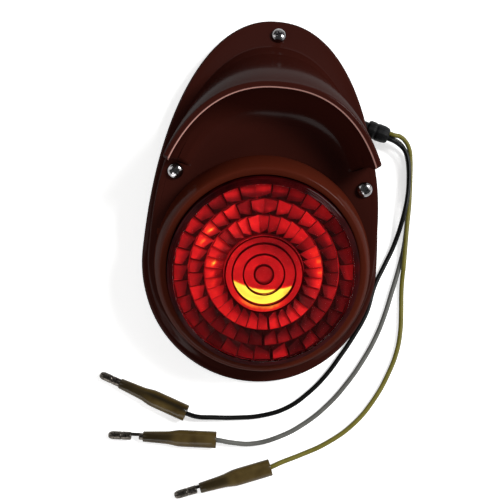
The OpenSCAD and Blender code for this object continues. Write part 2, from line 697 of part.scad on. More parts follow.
module wire_black() {
  color(black_wire) tube(lead_route(exit_black, route_black, plug_black), lead_r);
}
module wire_grey() {
  color(grey_wire) tube(lead_route(exit_grey, route_grey, plug_grey), lead_r);
}
module wire_yellow() {
  color(yellow_wire) tube(lead_route(exit_yellow, route_yellow, plug_yellow), lead_r);
}

// Bullet terminal with its crimp end on the wire
module bullet(plug) {
  r = bullet_d / 2;
  color(steel) plug_frame(plug) translate([crimp_x(plug), 0, 0]) rotate([0, 90, 0])
    rotate_extrude($fn = 32) polygon([
    [0, 0], [1.6, 0], [1.6, 7.5], [1.15, 8], [1.15, 11], [r - 0.3, 11.2], [r, 11.6], [r, bullet_len - 1.6],
    [1.4, bullet_len - 0.5], [0.8, bullet_len], [0, bullet_len]]);
}
module bullet_black() { bullet(plug_black); }
module bullet_grey() { bullet(plug_grey); }
module bullet_yellow() { bullet(plug_yellow); }

module sleeve(plug) {
  color(pvc) plug_frame(plug) rotate([0, 90, 0]) difference() {
    cylinder(r1 = sleeve_r_back, r2 = sleeve_r_front, h = sleeve_len);
    translate([0, 0, -1]) cylinder(r = bell_r, h = bell_len + 1);
    cylinder(r = neck_r, h = sleeve_len);
    translate([0, 0, neck_end]) cylinder(r = bullet_d / 2 + 0.1, h = sleeve_len);
  }
}
module sleeve_black() { sleeve(plug_black); }
module sleeve_grey() { sleeve(plug_grey); }
module sleeve_yellow() { sleeve(plug_yellow); }

// Rubber boot with a neck through the housing wall and a collar on each side of it
module cable_boot() {
  color(black_rubber) difference() {
    union() {
      boot_frame() translate([0, 0, -boot_back])
        cylinder(r = boot_hole_r - 0.05, h = boot_back + 5, $fn = 48);
      difference() {
        boot_frame() rotate_extrude($fn = 48) polygon([[0, -4], [4.4, -4], [4.5, 6], [4.1, 7], [4.4, 8],
          [4, 9.2], [4.3, 10.2], [4, 12], [3.9, boot_len], [0, boot_len]]);
        boot_wall_frame() translate([-20 + boot_sunk + boot_fit, -10, -10]) cube(20);
      }
      difference() {
        boot_frame() translate([0, 0, -boot_back]) cylinder(r = boot_collar_r, h = 6, $fn = 48);
        boot_wall_frame() translate([boot_sunk - shell_t - 2 * boot_fit, -10, -10]) cube(20);
      }
    }
    boot_frame() translate([0, 0, -8]) cylinder(r = 2.6, h = 8);
  }
}

// Leads inside the housing, side by side from the boot up through the hole in the reflector
boot_inside = boot_base - 0.2 * boot_dir;
inner_lead_r = 0.9;
function inner_run(start, side) = [start, start - boot_back * boot_dir,
  [36, 43.4 + side, 10], [24, 41.4 + side, 16],
  [13 - 0.7 * side, 28.4 + 0.7 * side, 24],
  to_world([-side, wire_hole_s], -8), to_world([-side, wire_hole_s], -1)];
function holder_end(x) = [to_world([0.8 * x, wire_hole_s], 4.2), to_world([x, 32.6], 7.6),
  to_world([x, socket_end + 1], bulb_h), to_world([x, socket_end - 1], bulb_h)];
earth_mouth_p = earth_barrel_p + earth_barrel_len;
earth_end = [to_world([4.2, wire_hole_s], 2.8), to_world([8, earth_mouth_p + 3.6], 2),
  to_world([rivet_x, earth_mouth_p + 2], earth_barrel_h + 0.6),
  to_world([rivet_x, earth_mouth_p + 1], earth_barrel_h),
  to_world([rivet_x, earth_mouth_p + 0.12], earth_barrel_h)];
module inner_lead(run, ending) {
  tube(smooth(concat(run, ending), 2), inner_lead_r, 6);
}
module inner_lead_black() {
  color(black_wire)
    inner_lead(inner_run(boot_inside - 1.2 * boot_side - [0, 0, 0.7], -2.4), earth_end);
}
module inner_lead_grey() {
  color(grey_wire)
    inner_lead(inner_run(boot_inside + 1.2 * boot_side - [0, 0, 0.7], 2.4), holder_end(-plunger_x));
}
module inner_lead_yellow() {
  color(yellow_wire) inner_lead(inner_run(boot_inside + [0, 0, 1.2], 0), holder_end(plunger_x));
}

base_gasket();
base_plate();
weld_nuts();
base_screws();
housing();
front_panel();
panel_inserts();
panel_screws();
hood_screw();
lens();
lens_seal();
reflector();
retaining_ring();
socket_bracket();
socket_rivets();
bulb_socket();
socket_end_cap();
contact_carrier();
contact_plungers();
contact_spring();
bulb_glass();
bulb_cap();
bulb_contacts();
bulb_filaments();
earth_terminal();
inner_lead_black();
inner_lead_grey();
inner_lead_yellow();
cable_boot();
wire_black();
wire_grey();
wire_yellow();
bullet_black();
bullet_grey();
bullet_yellow();
sleeve_black();
sleeve_grey();
sleeve_yellow();
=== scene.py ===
import math
from functools import partial

import bmesh
import bpy
from bpy.props import FloatProperty, FloatVectorProperty, IntProperty, PointerProperty
from mathutils import Matrix, Vector, noise


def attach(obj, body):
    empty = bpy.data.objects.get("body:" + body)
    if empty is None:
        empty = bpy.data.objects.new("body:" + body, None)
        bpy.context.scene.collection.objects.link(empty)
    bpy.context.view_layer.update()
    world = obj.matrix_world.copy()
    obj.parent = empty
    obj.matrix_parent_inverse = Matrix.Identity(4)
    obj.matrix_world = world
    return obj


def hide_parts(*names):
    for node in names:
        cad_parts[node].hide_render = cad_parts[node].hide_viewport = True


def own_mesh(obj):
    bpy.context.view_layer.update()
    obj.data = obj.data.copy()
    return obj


bl_info = {
    "name": "Motorcycle tail light",
    "version": (1, 0, 0),
    "blender": (4, 5, 0),
    "location": "3D View > Sidebar > Tail light",
    "description": "Dresses the packed frame of a nacelle tail light with its visible pieces and finishes",
    "category": "Add Mesh",
}

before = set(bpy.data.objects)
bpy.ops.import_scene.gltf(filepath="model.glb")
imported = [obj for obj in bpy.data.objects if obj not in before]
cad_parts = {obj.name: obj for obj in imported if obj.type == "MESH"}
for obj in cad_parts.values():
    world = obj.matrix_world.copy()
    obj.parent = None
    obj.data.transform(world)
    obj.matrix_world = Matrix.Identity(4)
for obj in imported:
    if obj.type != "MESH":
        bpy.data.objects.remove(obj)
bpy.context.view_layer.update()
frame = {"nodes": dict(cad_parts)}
MM = 0.001

# Outlines of the base, the front wall and the visor, in mm, as in the part's source
BASE_HALF_W = 56.5
BASE_ROUND_Y = -34.5
BASE_REACH = 125.5
BASE_FULLNESS = 2.17
WALL_HALF_W = 53.0
WALL_REACH = 83.6
WALL_FULLNESS = 2.6
VISOR_LIFT = 0.6
VISOR_FULLNESS = 2.28
VISOR_RAMP = 2.5
VISOR_SKEW = 2.0
WALL_Y = -36.6
WALL_Z = 25.0
TILT = math.radians(23.0)
GASKET_T = 3.0
SKIRT_H = 12.0
SHOULDER_W = 13.0
PANEL_T = 2.6
PANEL_INSET = 3.03
SHELL_T = 2.5
LEDGE_W = 3.0
LEDGE_H = -5.0
OUTER_ROUND = 0.9
INNER_ROUND = 0.8
HOOD_STEPS = 26

# Painted highlight along the inner edge of the visor's rim: how strongly it lies on each point of a shell
# section
RUBBED = {41: 0.3, 42: 0.95, 43: 1.0, 44: 0.55, 45: 0.1}

# Drum and lens in mm: radii, thicknesses and heights above the front wall
DRUM_H = 20.0
DRUM_R = 50.0
DRUM_MOUTH_R = 45.6
DRUM_BORE_R = 45.9
MOUTH_BORE_R = 43.5
LIP_BACK = 17.0
PANEL_HOLE_R = 46.6
LENS_TOP = 27.0
LENS_T = 2.75
FLANGE_R = 45.4
FLANGE_FRONT = 16.0
FLANGE_BACK = 13.5
PRISM_RINGS = ((18.0, 26.2), (26.6, 33.4), (33.8, 40.1))
PRISM_EDGE_R = 40.35
FACE_GROOVES = (4.2, 9.1, 14.0, 17.2)
DIMPLE_R = 4.25
DISC_GROOVES = (9.1, 14.0)
DISC_RADII = (
    0.8, 1.6, 2.4, 3.2, 3.9, DIMPLE_R, 4.6, 5.4, 6.2, 7.0, 7.8, 8.5, 8.85, 9.1, 9.35, 9.9, 10.6, 11.3,
    12.0, 12.7, 13.3, 13.72, 14.0, 14.28, 14.8, 15.4, 16.2, 17.0, 17.4)

# Screws: the hood's in the frame, those of the front wall on it, in mm
HOOD_SCREW = (0.0, 82.4, 12.45)
PANEL_SCREW_X = 43.8
PANEL_SCREW_Y = 38.6
HEAD_R = 3.6
HEAD_H = 2.6
SHANK_R = 1.95

# Spring behind the bulb's contacts, along the bulb's axis in mm, from the contact board to the end cap
BULB_H = 8.0
SPRING_R = 5.6
SPRING_WIRE_R = 0.36
SPRING_TURNS = 4
SPRING_FRONT = 21.42
SPRING_BACK = 27.98

# Terminals and their sleeves, in mm: rear point on the table, heading in degrees, reach of the bullet
SLEEVE_LEN = 34.5
SLEEVE_BACK_R = 3.8
SLEEVE_FRONT_R = 2.45
SLEEVE_WALL = 0.65
SLEEVE_HALF_W = 3.95
SLEEVE_WAIST = 2.95
SLEEVE_STATIONS = (0.0, 0.25, 3.0, 7.0, 11.0, 14.0, 16.0, 18.0, 20.0, 22.0, 24.0, 27.0, 31.0, 34.2,
                   SLEEVE_LEN)
BULLET_LEN = 22.0
ALONG_X = Matrix.Rotation(math.pi / 2, 4, "Y")
PLUGS = {
    "black": ((-28.29, -108.78), 160.8, 10.6),
    "grey": ((-12.98, -119.9), 182.2, 16.4),
    "yellow": ((13.69, -130.28), 200.9, 12.4),
}
# How a lead shows in its sleeve: how far off the middle it lies, in mm, and how dark it is
SHOWN_LEADS = {"black": (-1.2, 0.9), "grey": (0.0, 0.12), "yellow": (0.0, 0.2)}

# Boot, where the leads leave the shell
BOOT_BASE = Vector((46.207, 40.660, 7.9))
BOOT_TURN = math.radians(-15.5)
BOOT_LEN = 14.0
BOOT_DIR = Vector((math.cos(BOOT_TURN), math.sin(BOOT_TURN), 0.0))
BOOT_SIDE = Vector((-math.sin(BOOT_TURN), math.cos(BOOT_TURN), 0.0))
BOOT_TIP = BOOT_BASE + BOOT_DIR * BOOT_LEN
EXITS = {
    "black": BOOT_TIP - BOOT_SIDE * 1.45 + Vector((0, 0, 0.6)),
    "grey": BOOT_TIP - Vector((0, 0, 1.5)),
    "yellow": BOOT_TIP + BOOT_SIDE * 1.45 + Vector((0, 0, 0.6)),
}

# Camera, in metres, found by fitting the outline, the lens and the screws to the photograph
CAMERA_PLACE = (-0.027835, -0.119872, 0.46211)
CAMERA_AIM = (-0.00459, -0.026513, 0.0)
CAMERA_ROLL = math.radians(-4.94)
FOCAL_PX = 952.0
PHOTO_PX = 500.0
SENSOR_W = 36.0

# Routes of the leads over the table, in mm, from the boot to the sleeves
ROUTES = {
    "black": (
        (65.4, 33.5, 7.3), (68.5, 30.8, 6.9), (70.4, 26.8, 6.5), (71.4, 21, 6.1), (71.7, 12.7, 6),
        (71.3, 5.4, 5.9), (70.4, -1.3, 5.3), (69.3, -7.5, 3.9), (67.9, -13.7, 2.3), (65.9, -20.1, 1.4),
        (62.7, -28, 1.2), (58.4, -38.8, 1.2), (55.1, -52.7, 1.2), (48.9, -65.7, 1.2), (43.3, -75.4, 1.2),
        (37.3, -84.7, 1.2), (29.2, -94.1, 1.2), (19.6, -101.9, 1.2), (7.9, -106.6, 1.2), (-4.4, -108.7, 1.5),
        (-15.9, -109.6, 3), (-23, -109.9, 3.85)),
    "grey": (
        (66.3, 34.9, 4.6), (69.2, 32.3, 3.1), (71.1, 28.5, 1.9), (72.2, 23.5, 1.25), (72.7, 15.1, 1.2),
        (72.9, 6.7, 1.2), (72.9, -2.1, 1.2), (72.6, -10.9, 1.2), (71.9, -18.7, 1.2), (70.7, -25.5, 1.2),
        (69.3, -32.2, 1.2), (67.3, -40.5, 1.2), (64.4, -52.3, 1.2), (60.8, -63.3, 1.2), (55.1, -75.5, 1.2),
        (47.8, -87.6, 1.2), (39.3, -98.6, 1.2), (28.8, -108.4, 1.2), (16.8, -115.9, 1.25), (4.2, -120.2, 1.9),
        (-5.4, -120.5, 3)),
    "yellow": (
        (65.7, 37.5, 7.6), (69.1, 35.2, 6.6), (71.3, 31.7, 5.4), (72.3, 26.8, 4.4), (72.8, 19.7, 3.75),
        (73, 11.3, 3.65), (73, 2.5, 3.65), (72.6, -5.8, 3.65), (72.3, -14.1, 3.65), (72.1, -21.7, 3.6),
        (72, -28.2, 3.1), (71.9, -34.6, 1.9), (72, -41.6, 1.25), (72.4, -50.5, 1.2), (72.5, -60, 1.2),
        (71.2, -70.4, 1.2), (67.8, -81, 1.2), (61.4, -94.3, 1.2), (52, -107, 1.2), (39.5, -117.1, 1.3),
        (26.9, -123.8, 2.2), (18.5, -127.7, 3.3)),
}


def linear(code):
    """Turns an sRGB hex colour into the linear values that a colour socket takes."""
    channels = [int(code[i:i + 2], 16) / 255 for i in (1, 3, 5)]
    return tuple(c / 12.92 if c <= 0.04045 else ((c + 0.055) / 1.055) ** 2.4 for c in channels) + (1.0,)


def clamp01(value):
    return max(0.0, min(1.0, value))


def mix(a, b, t):
    return a + (b - a) * t


def smoothstep(low, high, value):
    t = clamp01((value - low) / (high - low))
    return t * t * (3 - 2 * t)


# Geometry of the shell, as in the part's source


def outline_pt(angle, half_w, centre_y, reach, fullness, inset):
    """Point on an outline that is round below and a superellipse above, angle in degrees."""
    c, s = math.cos(math.radians(angle)), math.sin(math.radians(angle))
    if angle < 0:
        return Vector(((half_w - inset) * c, centre_y + (half_w - inset) * s))
    rho = (abs(c) ** fullness + abs(s) ** fullness) ** (1 / fullness)
    return Vector(((half_w - inset) * c / rho, centre_y + (reach - inset) * s / rho))


def base_pt(angle, inset):
    return outline_pt(angle, BASE_HALF_W, BASE_ROUND_Y, BASE_REACH, BASE_FULLNESS, inset)


def wall_pt(angle, inset):
    return outline_pt(angle, WALL_HALF_W, 0.0, WALL_REACH, WALL_FULLNESS, inset)


def visor_pt(angle, inset, flare):
    return outline_pt(angle, WALL_HALF_W + flare, 0.0, WALL_REACH + VISOR_LIFT, VISOR_FULLNESS, inset)


def to_world(point, height):
    """Point of the tilted front wall, in mm, as a point of the frame, in mm."""
    return Vector((
        point[0],
        WALL_Y + point[1] * math.cos(TILT) - height * math.sin(TILT),
        WALL_Z + point[1] * math.sin(TILT) + height * math.cos(TILT)))


def at_z(point, z):
    return Vector((point[0], point[1], z))


def up(angle):
    return 0.0 if angle < 0 else math.sin(math.radians(angle))


def rise(angle, start):
    """How far the visor has risen at an angle, from 0 at its free end to 1."""
    if angle < 0:
        return 0.0
    s = clamp01((min(angle - VISOR_SKEW, 180 - angle + VISOR_SKEW) - start) / VISOR_RAMP)
    return math.sqrt(1 - (1 - s) ** 2)


def rim_depth(angle):
    return mix(0.3, 1.0, clamp01((to_world(wall_pt(angle, 0), 0).z - 4) / 8))


def skirt_top(angle):
    edge = to_world(wall_pt(angle, 0), -rim_depth(angle)).z
    return min(SKIRT_H + 3.5 * math.cos(math.radians(angle)) ** 2, mix(GASKET_T, edge, 0.6))


def fillet_w(angle, start):
    return rise(angle, start) * (6.0 + 10.0 * up(angle) ** 2)


def bezier(a, b, c, d, t):
    return a * (1 - t) ** 3 + b * 3 * t * (1 - t) ** 2 + c * 3 * t * t * (1 - t) + d * t ** 3


def floor_z(point, z):
    return Vector((point.x, point.y, max(point.z, z)))


def quarter(steps):
    """Angles in radians from 0 to a right angle."""
    return [math.radians(90 / steps * k) for k in range(steps + 1)]


def full_turn(count, first=0.0):
    """Angles in radians round a full turn, the first one given as a share of the step between them."""
    return [2 * math.pi * (k + first) / count for k in range(count)]


def polar(radius, angle, height):
    return Vector((radius * math.cos(angle), radius * math.sin(angle), height))


def hollow_points(angle, visor_t, start, top, shoulder_in):
    """Inner side of the shell at one angle: ledge behind the front wall, side, roof and inner foot."""
    r = rise(angle, start)
    inner = visor_t + fillet_w(angle, start)
    # The hollow narrows where the front wall comes down to the gasket
    share = max(0.15, clamp01((to_world(wall_pt(angle, 0), 0).z - 6) / 10))
    down = GASKET_T + 0.6 - to_world(wall_pt(angle, inner + LEDGE_W), 0).z
    ledge_h = max(LEDGE_H, down / math.cos(TILT))
    ledge = to_world(wall_pt(angle, inner + LEDGE_W), ledge_h)
    behind = to_world(wall_pt(angle, inner + 0.6), ledge_h)
    side = to_world(wall_pt(angle, visor_t + 0.5 + 2 * r), ledge_h - 1 + 12.5 * r)
    side = floor_z(mix(ledge, side, share), GASKET_T + 0.3)
    roof_z = max(GASKET_T + 0.4, top - SHELL_T)
    roof = at_z(base_pt(angle, max(SHELL_T + 0.4, shoulder_in - 1)), roof_z)
    corner = at_z(base_pt(angle, SHELL_T + 0.1), roof_z - 0.2)
    foot = at_z(ledge, GASKET_T)
    roof = floor_z(mix(foot + Vector((0, 0, 0.25)), roof, share), GASKET_T + 0.25)
    corner = floor_z(mix(foot + Vector((0, 0, 0.12)), corner, share), GASKET_T + 0.12)
    back = [to_world(wall_pt(angle, inset), -PANEL_T) for inset in (inner + 0.1, inner + LEDGE_W)]
    return back + [
        ledge, floor_z(mix(ledge, behind, share), GASKET_T + 0.4), side, mix(side, roof, 1 / 3),
        mix(side, roof, 2 / 3), roof, corner, mix(foot, at_z(base_pt(angle, SHELL_T), GASKET_T), share)]


def shell_section(angle, visor_h, visor_t, start, flare):
    """Closed section of the shell at one angle: outer foot, hood, visor's rim, fillet and inner side."""
    def leaning(inset, height):
        lean = 0.0 if angle < 0 else clamp01(height / visor_h)
        return to_world(mix(wall_pt(angle, inset), visor_pt(angle, inset, flare), lean), height)

    top = skirt_top(angle)
    r = rise(angle, start)
    h = visor_h * r
    shoulder_in = 2 + (SHOULDER_W - 2) * up(angle) ** 2
    turn = min(2.0, 0.4 * (top - GASKET_T))
    points = [at_z(base_pt(angle, 0.2), GASKET_T), at_z(base_pt(angle, 0), GASKET_T + 0.25)]
    for s in quarter(5):
        points.append(at_z(base_pt(angle, turn * (1 - math.cos(s))), top - turn * (1 - math.sin(s))))

    # The hood sweeps from the shoulder to the edge of the visor in one curve
    foot = at_z(base_pt(angle, shoulder_in), top + 0.3 * up(angle))
    crest = leaning(0, h - rim_depth(angle))
    pull_foot = mix(foot, Vector((crest.x, crest.y, foot.z + 0.06 * (crest.z - foot.z))), 0.22)
    pull_crest = mix(crest, Vector((foot.x, foot.y, mix(crest.z, foot.z, 0.62))), 0.34)
    points += [bezier(foot, pull_foot, pull_crest, crest, k / HOOD_STEPS) for k in range(HOOD_STEPS)]

    # Rim of the visor, outer and inner round, and the fillet down to the front wall
    edge = min(OUTER_ROUND, rim_depth(angle))
    points += [leaning(OUTER_ROUND * (1 - math.cos(s)), h - edge * (1 - math.sin(s))) for s in quarter(5)]
    inner_r, drop = mix(0.1, INNER_ROUND, r), mix(0.02, INNER_ROUND, r)
    for s in quarter(6):
        points.append(leaning(visor_t - inner_r * (1 - math.sin(s)), h - drop * (1 - math.cos(s))))
    for k, s in enumerate(quarter(18)[1:], 1):
        inset = visor_t + 0.003 * k + fillet_w(angle, start) * (1 - math.cos(s))
        depth = (h - INNER_ROUND * r) * (1 - math.sin(s)) - 0.02 - 0.12 * k * (1 - r)
        points.append(leaning(inset, depth))
    return points + hollow_points(angle, visor_t, start, top, shoulder_in)


# Angles round the shell in degrees, closest where the visor's free ends rise
RIGHT_SIDE = [2.0 * k for k in range(15)] + [29 + 0.25 * k for k in range(40)]
RIGHT_SIDE += [39 + 1.5 * k for k in range(35)]
ANGLES = [-177.5 + 2.5 * k for k in range(71)] + RIGHT_SIDE + [180 - a for a in reversed(RIGHT_SIDE[:-1])]

# Mesh helpers

FRONT = Matrix.Translation((0, WALL_Y, WALL_Z)) @ Matrix.Rotation(TILT, 4, "X")
BULB = FRONT @ Matrix.Translation((0, 0, BULB_H)) @ Matrix.Rotation(-math.pi / 2, 4, "X")


def smooth(mesh, sharp):
    """Shades a mesh smooth up to an edge angle in degrees."""
    mesh.shade_smooth()
    mesh.set_sharp_from_angle(angle=math.radians(sharp))


def mesh_object(name, points, faces, matrix=Matrix(), sharp=30):
    """Mesh object from points in mm moved by a matrix, shaded smooth up to an edge angle in degrees."""
    mesh = bpy.data.meshes.new(name)
    mesh.from_pydata([tuple((matrix @ Vector(p)) * MM) for p in points], [], faces)
    mesh.validate()
    smooth(mesh, sharp)
    obj = bpy.data.objects.new(name, mesh)
    bpy.context.scene.collection.objects.link(obj)
    return obj


def solid(name, parts, matrix=Matrix(), sharp=30):
    """One object from several lists of points and faces, with every normal outwards."""
    points, faces = [], []
    for some_points, some_faces in parts:
        faces += [tuple(len(points) + i for i in face) for face in some_faces]
        points += some_points
    obj = mesh_object(name, points, faces, matrix, sharp)
    bm = bmesh.new()
    bm.from_mesh(obj.data)
    bmesh.ops.recalc_face_normals(bm, faces=bm.faces)
    bm.to_mesh(obj.data)
    bm.free()
    return obj


def loop_faces(rows, columns, close_rows=True, close_columns=True):
    """Faces of a grid of points, joined round in one or both directions."""
    faces = []
    for i in range(rows if close_rows else rows - 1):
        for j in range(columns if close_columns else columns - 1):
            i2, j2 = (i + 1) % rows, (j + 1) % columns
            faces.append(tuple(a * columns + b for a, b in ((i, j), (i2, j), (i2, j2), (i, j2))))
    return faces


def swept(rows, close_rows=True):
    """Points and faces of a surface through rows of points, each of them closed."""
    return [p for row in rows for p in row], loop_faces(len(rows), len(rows[0]), close_rows)


def turned(profile, segments, closed=True):
    """Points and faces of a profile of (radius, height) turned round the Z axis.

    A profile that starts on the axis ends on it too, with one point at each end. Any other can be closed.
    """
    on_axis = profile[0][0] == 0
    rim = profile[1:-1] if on_axis else profile
    points = [polar(r, a, h) for a in full_turn(segments) for r, h in rim]
    faces = loop_faces(segments, len(rim), close_columns=closed and not on_axis)
    if on_axis:
        low, high, m = len(points), len(points) + 1, len(rim)
        points += [Vector((0, 0, profile[0][1])), Vector((0, 0, profile[-1][1]))]
        for k in range(segments):
            k2 = (k + 1) % segments
            faces += [(low, k2 * m, k * m), (high, k * m + m - 1, k2 * m + m - 1)]
    return points, faces


def rounded(corners, radius, steps=4):
    """Profile whose corners are cut round by a radius, or by their own where they have a third number."""
    out = []
    for i, corner in enumerate(corners):
        p = Vector(corner[:2])
        r = corner[2] if len(corner) > 2 else radius
        if r <= 0:
            out.append((p.x, p.y))
            continue
        before, after = Vector(corners[i - 1][:2]) - p, Vector(corners[(i + 1) % len(corners)][:2]) - p
        reach = min(r, 0.45 * before.length, 0.45 * after.length)
        a, b = p + before.normalized() * reach, p + after.normalized() * reach
        for t in [k / steps for k in range(steps + 1)]:
            q = a * (1 - t) ** 2 + p * 2 * t * (1 - t) + b * t * t
            out.append((q.x, q.y))
    return out


def cut(obj, cutter):
    """Cuts one object out of another and leaves only the result."""
    boolean = obj.modifiers.new("recess", "BOOLEAN")
    boolean.operation = "DIFFERENCE"
    boolean.solver = "EXACT"
    boolean.object = cutter
    mesh = bpy.data.meshes.new_from_object(obj.evaluated_get(bpy.context.evaluated_depsgraph_get()))
    obj.modifiers.clear()
    obj.data = mesh
    bpy.data.objects.remove(cutter)
    smooth(mesh, 30)
    return obj


def finish_piece(obj, material, node, body="lamp"):
    """Gives a piece its material and its body, and hides the node that it stands for."""
    obj.data.materials.clear()
    obj.data.materials.append(material)
    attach(obj, body)
    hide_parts(node)


def second_finish(obj, material, chosen):
    """Gives another material to the faces chosen by radius and height above the front wall, in mm."""
    obj.data.materials.append(material)
    to_front = FRONT.inverted()
    for face in obj.data.polygons:
        p = to_front @ (face.center / MM)
        if chosen(math.hypot(p.x, p.y), p.z):
            face.material_index = 1


# Materials


def add_node(tree, kind, inputs=None, stops=(), **settings):
    """Adds a node with its settings and colour stops. An input is a value, or a node or socket to link."""
    node = tree.nodes.new("ShaderNode" + kind)
    for name, value in settings.items():
        setattr(node, name, value)
    for name, value in (inputs or {}).items():
        if isinstance(value, bpy.types.Node):
            value = next(socket for socket in value.outputs if socket.enabled)
        if isinstance(value, bpy.types.NodeSocket):
            tree.links.new(value, node.inputs[name])
        else:
            node.inputs[name].default_value = value
    for i, (place, code) in enumerate(stops):
        elements = node.color_ramp.elements
        element = elements[i] if i < len(elements) else elements.new(place)
        element.position = place
        element.color = linear(code)
    return node


def made(name, surface, *values):
    """The material of a name, whose surface a function builds and gives back as a shader."""
    material = bpy.data.materials.get(name) or bpy.data.materials.new(name)
    material.use_nodes = True
    tree = material.node_tree
    tree.nodes.clear()
    add = partial(add_node, tree)
    place = add("TexCoord").outputs["Object"]
    add("OutputMaterial", {"Surface": surface(add, place, *values)})
    return material


def sprayed_enamel(add, place, paint):
    """Stoved gloss enamel, sprayed: deep maroon under a clear wet-looking layer, with faint orange peel."""
    # Thicker and thinner paint in clouds of 22 mm
    cloud = add("TexNoise", {"Vector": place, "Scale": 1 / (22 * MM)})
    light = [c * 1.25 for c in paint[:3]] + [1.0]
    tone = add("Mix", {"Factor": cloud, "A": paint, "B": light}, data_type="RGBA")
    # Orange peel is 3 mm from crest to crest and only microns deep
    peel = add("TexNoise", {"Vector": place, "Scale": 1 / (3 * MM), "Detail": 1.0})
    bump = add("Bump", {"Strength": 0.06, "Distance": 0.02 * MM, "Height": peel})
    # Specks of dust in the paint, half a millimetre wide
    dust = add("TexNoise", {"Vector": place, "Scale": 1 / (0.5 * MM), "Detail": 4.0, "Roughness": 0.7})
    haze = add("MapRange", {"Value": dust, "To Min": 0.36, "To Max": 0.48})
    # A painted pink highlight lies along the visor's inner edge
    rubbed = add("Attribute", attribute_name="rubbed").outputs["Fac"]
    edge = add("Mix", {"Factor": rubbed, "A": tone, "B": linear("#d29d92")}, data_type="RGBA")
    return add("BsdfPrincipled", {
        "Base Color": edge, "Roughness": haze, "IOR": 1.5, "Specular IOR Level": 0.0,
        "Coat Weight": 0.06, "Coat IOR": 1.8, "Coat Roughness": 0.16, "Coat Normal": bump})


def red_acrylic(add, place, tint):
    """Injection moulded clear red acrylic with polished faces, through which the prisms show.

    The real moulding has no air behind its face. Here it has, so a low IOR keeps both faces clear.
    """
    # Flow marks of the moulding, 14 mm apart
    flow = add("TexNoise", {"Vector": place, "Scale": 1 / (14 * MM), "Detail": 1.0})
    bump = add("Bump", {"Strength": 0.08, "Distance": 0.03 * MM, "Height": flow})
    clear = add("BsdfPrincipled", {
        "Base Color": tint, "Roughness": 0.02, "IOR": 1.15, "Transmission Weight": 1.0, "Normal": bump})
    # Light reaches the prisms through the face, so shadow rays pass with the plastic's own tint
    shadow = add("LightPath").outputs["Is Shadow Ray"]
    return add("MixShader", {0: shadow, 1: clear, 2: add("BsdfTransparent", {"Color": tint})})


def rim_acrylic(add, place):
    """The same acrylic at its thick stepped rim: glossy, painted nearly black with a deep red as painted
    shade.
    """
    # The painted shade changes in patches of 9 mm
    depth = add("TexNoise", {"Vector": place, "Scale": 1 / (9 * MM)})
    tone = add("ValToRGB", {"Fac": depth}, ((0.3, "#1c0304"), (0.7, "#420709")))
    return add("BsdfPrincipled", {
        "Base Color": tone, "Roughness": 0.4, "IOR": 1.49, "Specular IOR Level": 0.0,
        "Coat Weight": 0.04, "Coat IOR": 1.8, "Coat Roughness": 0.08})


def prism_acrylic(add, place):
    """Back of the red moulding, with sharp prism flanks painted bright or deep red, as painted light and
    shade from the bowl.

    It lies inside the plastic, so it has hardly any gloss. A faint emission gives it a painted glow, though
    nothing in the bowl is lit.
    """
    # The painted light is made uneven in mottles of 3.5 mm
    mottle = add("TexNoise", {"Vector": place, "Scale": 1 / (3.5 * MM)})
    shift = add("MapRange", {"Value": mottle, "To Min": -0.09, "To Max": 0.09})
    glow = add("Attribute", attribute_name="glow").outputs["Fac"]
    # The tones run from painted shade up to a painted orange and yellow highlight
    tone = add("ValToRGB", {"Fac": add("Math", {0: glow, 1: shift}, operation="ADD")}, (
        (0.00, "#0d0202"), (0.20, "#290406"), (0.40, "#52080d"), (0.60, "#7b0e13"), (0.75, "#9a1318"),
        (0.86, "#b4221b"), (0.93, "#c16127"), (1.00, "#e2d54a")))
    return add("BsdfPrincipled", {
        "Base Color": tone, "Roughness": 0.5, "IOR": 1.2, "Specular IOR Level": 0.1,
        "Emission Color": tone, "Emission Strength": 0.3})


def sleeve_pvc(add, place):
    """Dipped soft PVC, olive brown with a wet shine, and half clear, so that what is inside shows dark."""
    # The dipped wall is uneven over 7 mm
    cloud = add("TexNoise", {"Vector": place, "Scale": 1 / (7 * MM)})
    tone = add("ValToRGB", {"Fac": cloud}, ((0.3, "#4a3a1c"), (0.7, "#65532d")))
    inside = add("Attribute", attribute_name="inside").outputs["Fac"]
    seen = add("Mix", {"Factor": inside, "A": tone, "B": linear("#16120b")}, data_type="RGBA")
    wall = add("BsdfPrincipled", {
        "Base Color": seen, "Roughness": 0.3, "IOR": 1.53, "Specular IOR Level": 0.12,
        "Coat Weight": 0.12, "Coat IOR": 1.8, "Coat Roughness": 0.1})
    return add("MixShader", {0: 0.2, 1: wall, 2: add("BsdfTransparent", {"Color": linear("#978648")})})


def blown_glass(add, place):
    """Blown soda glass of the bulb, clear with faint waves 8 mm apart."""
    wave = add("TexNoise", {"Vector": place, "Scale": 1 / (8 * MM), "Detail": 1.0})
    bump = add("Bump", {"Strength": 0.1, "Distance": 0.05 * MM, "Height": wave})
    return add("BsdfPrincipled", {
        "Base Color": linear("#f4f6f4"), "Roughness": 0.01, "IOR": 1.52, "Transmission Weight": 1.0,
        "Normal": bump})


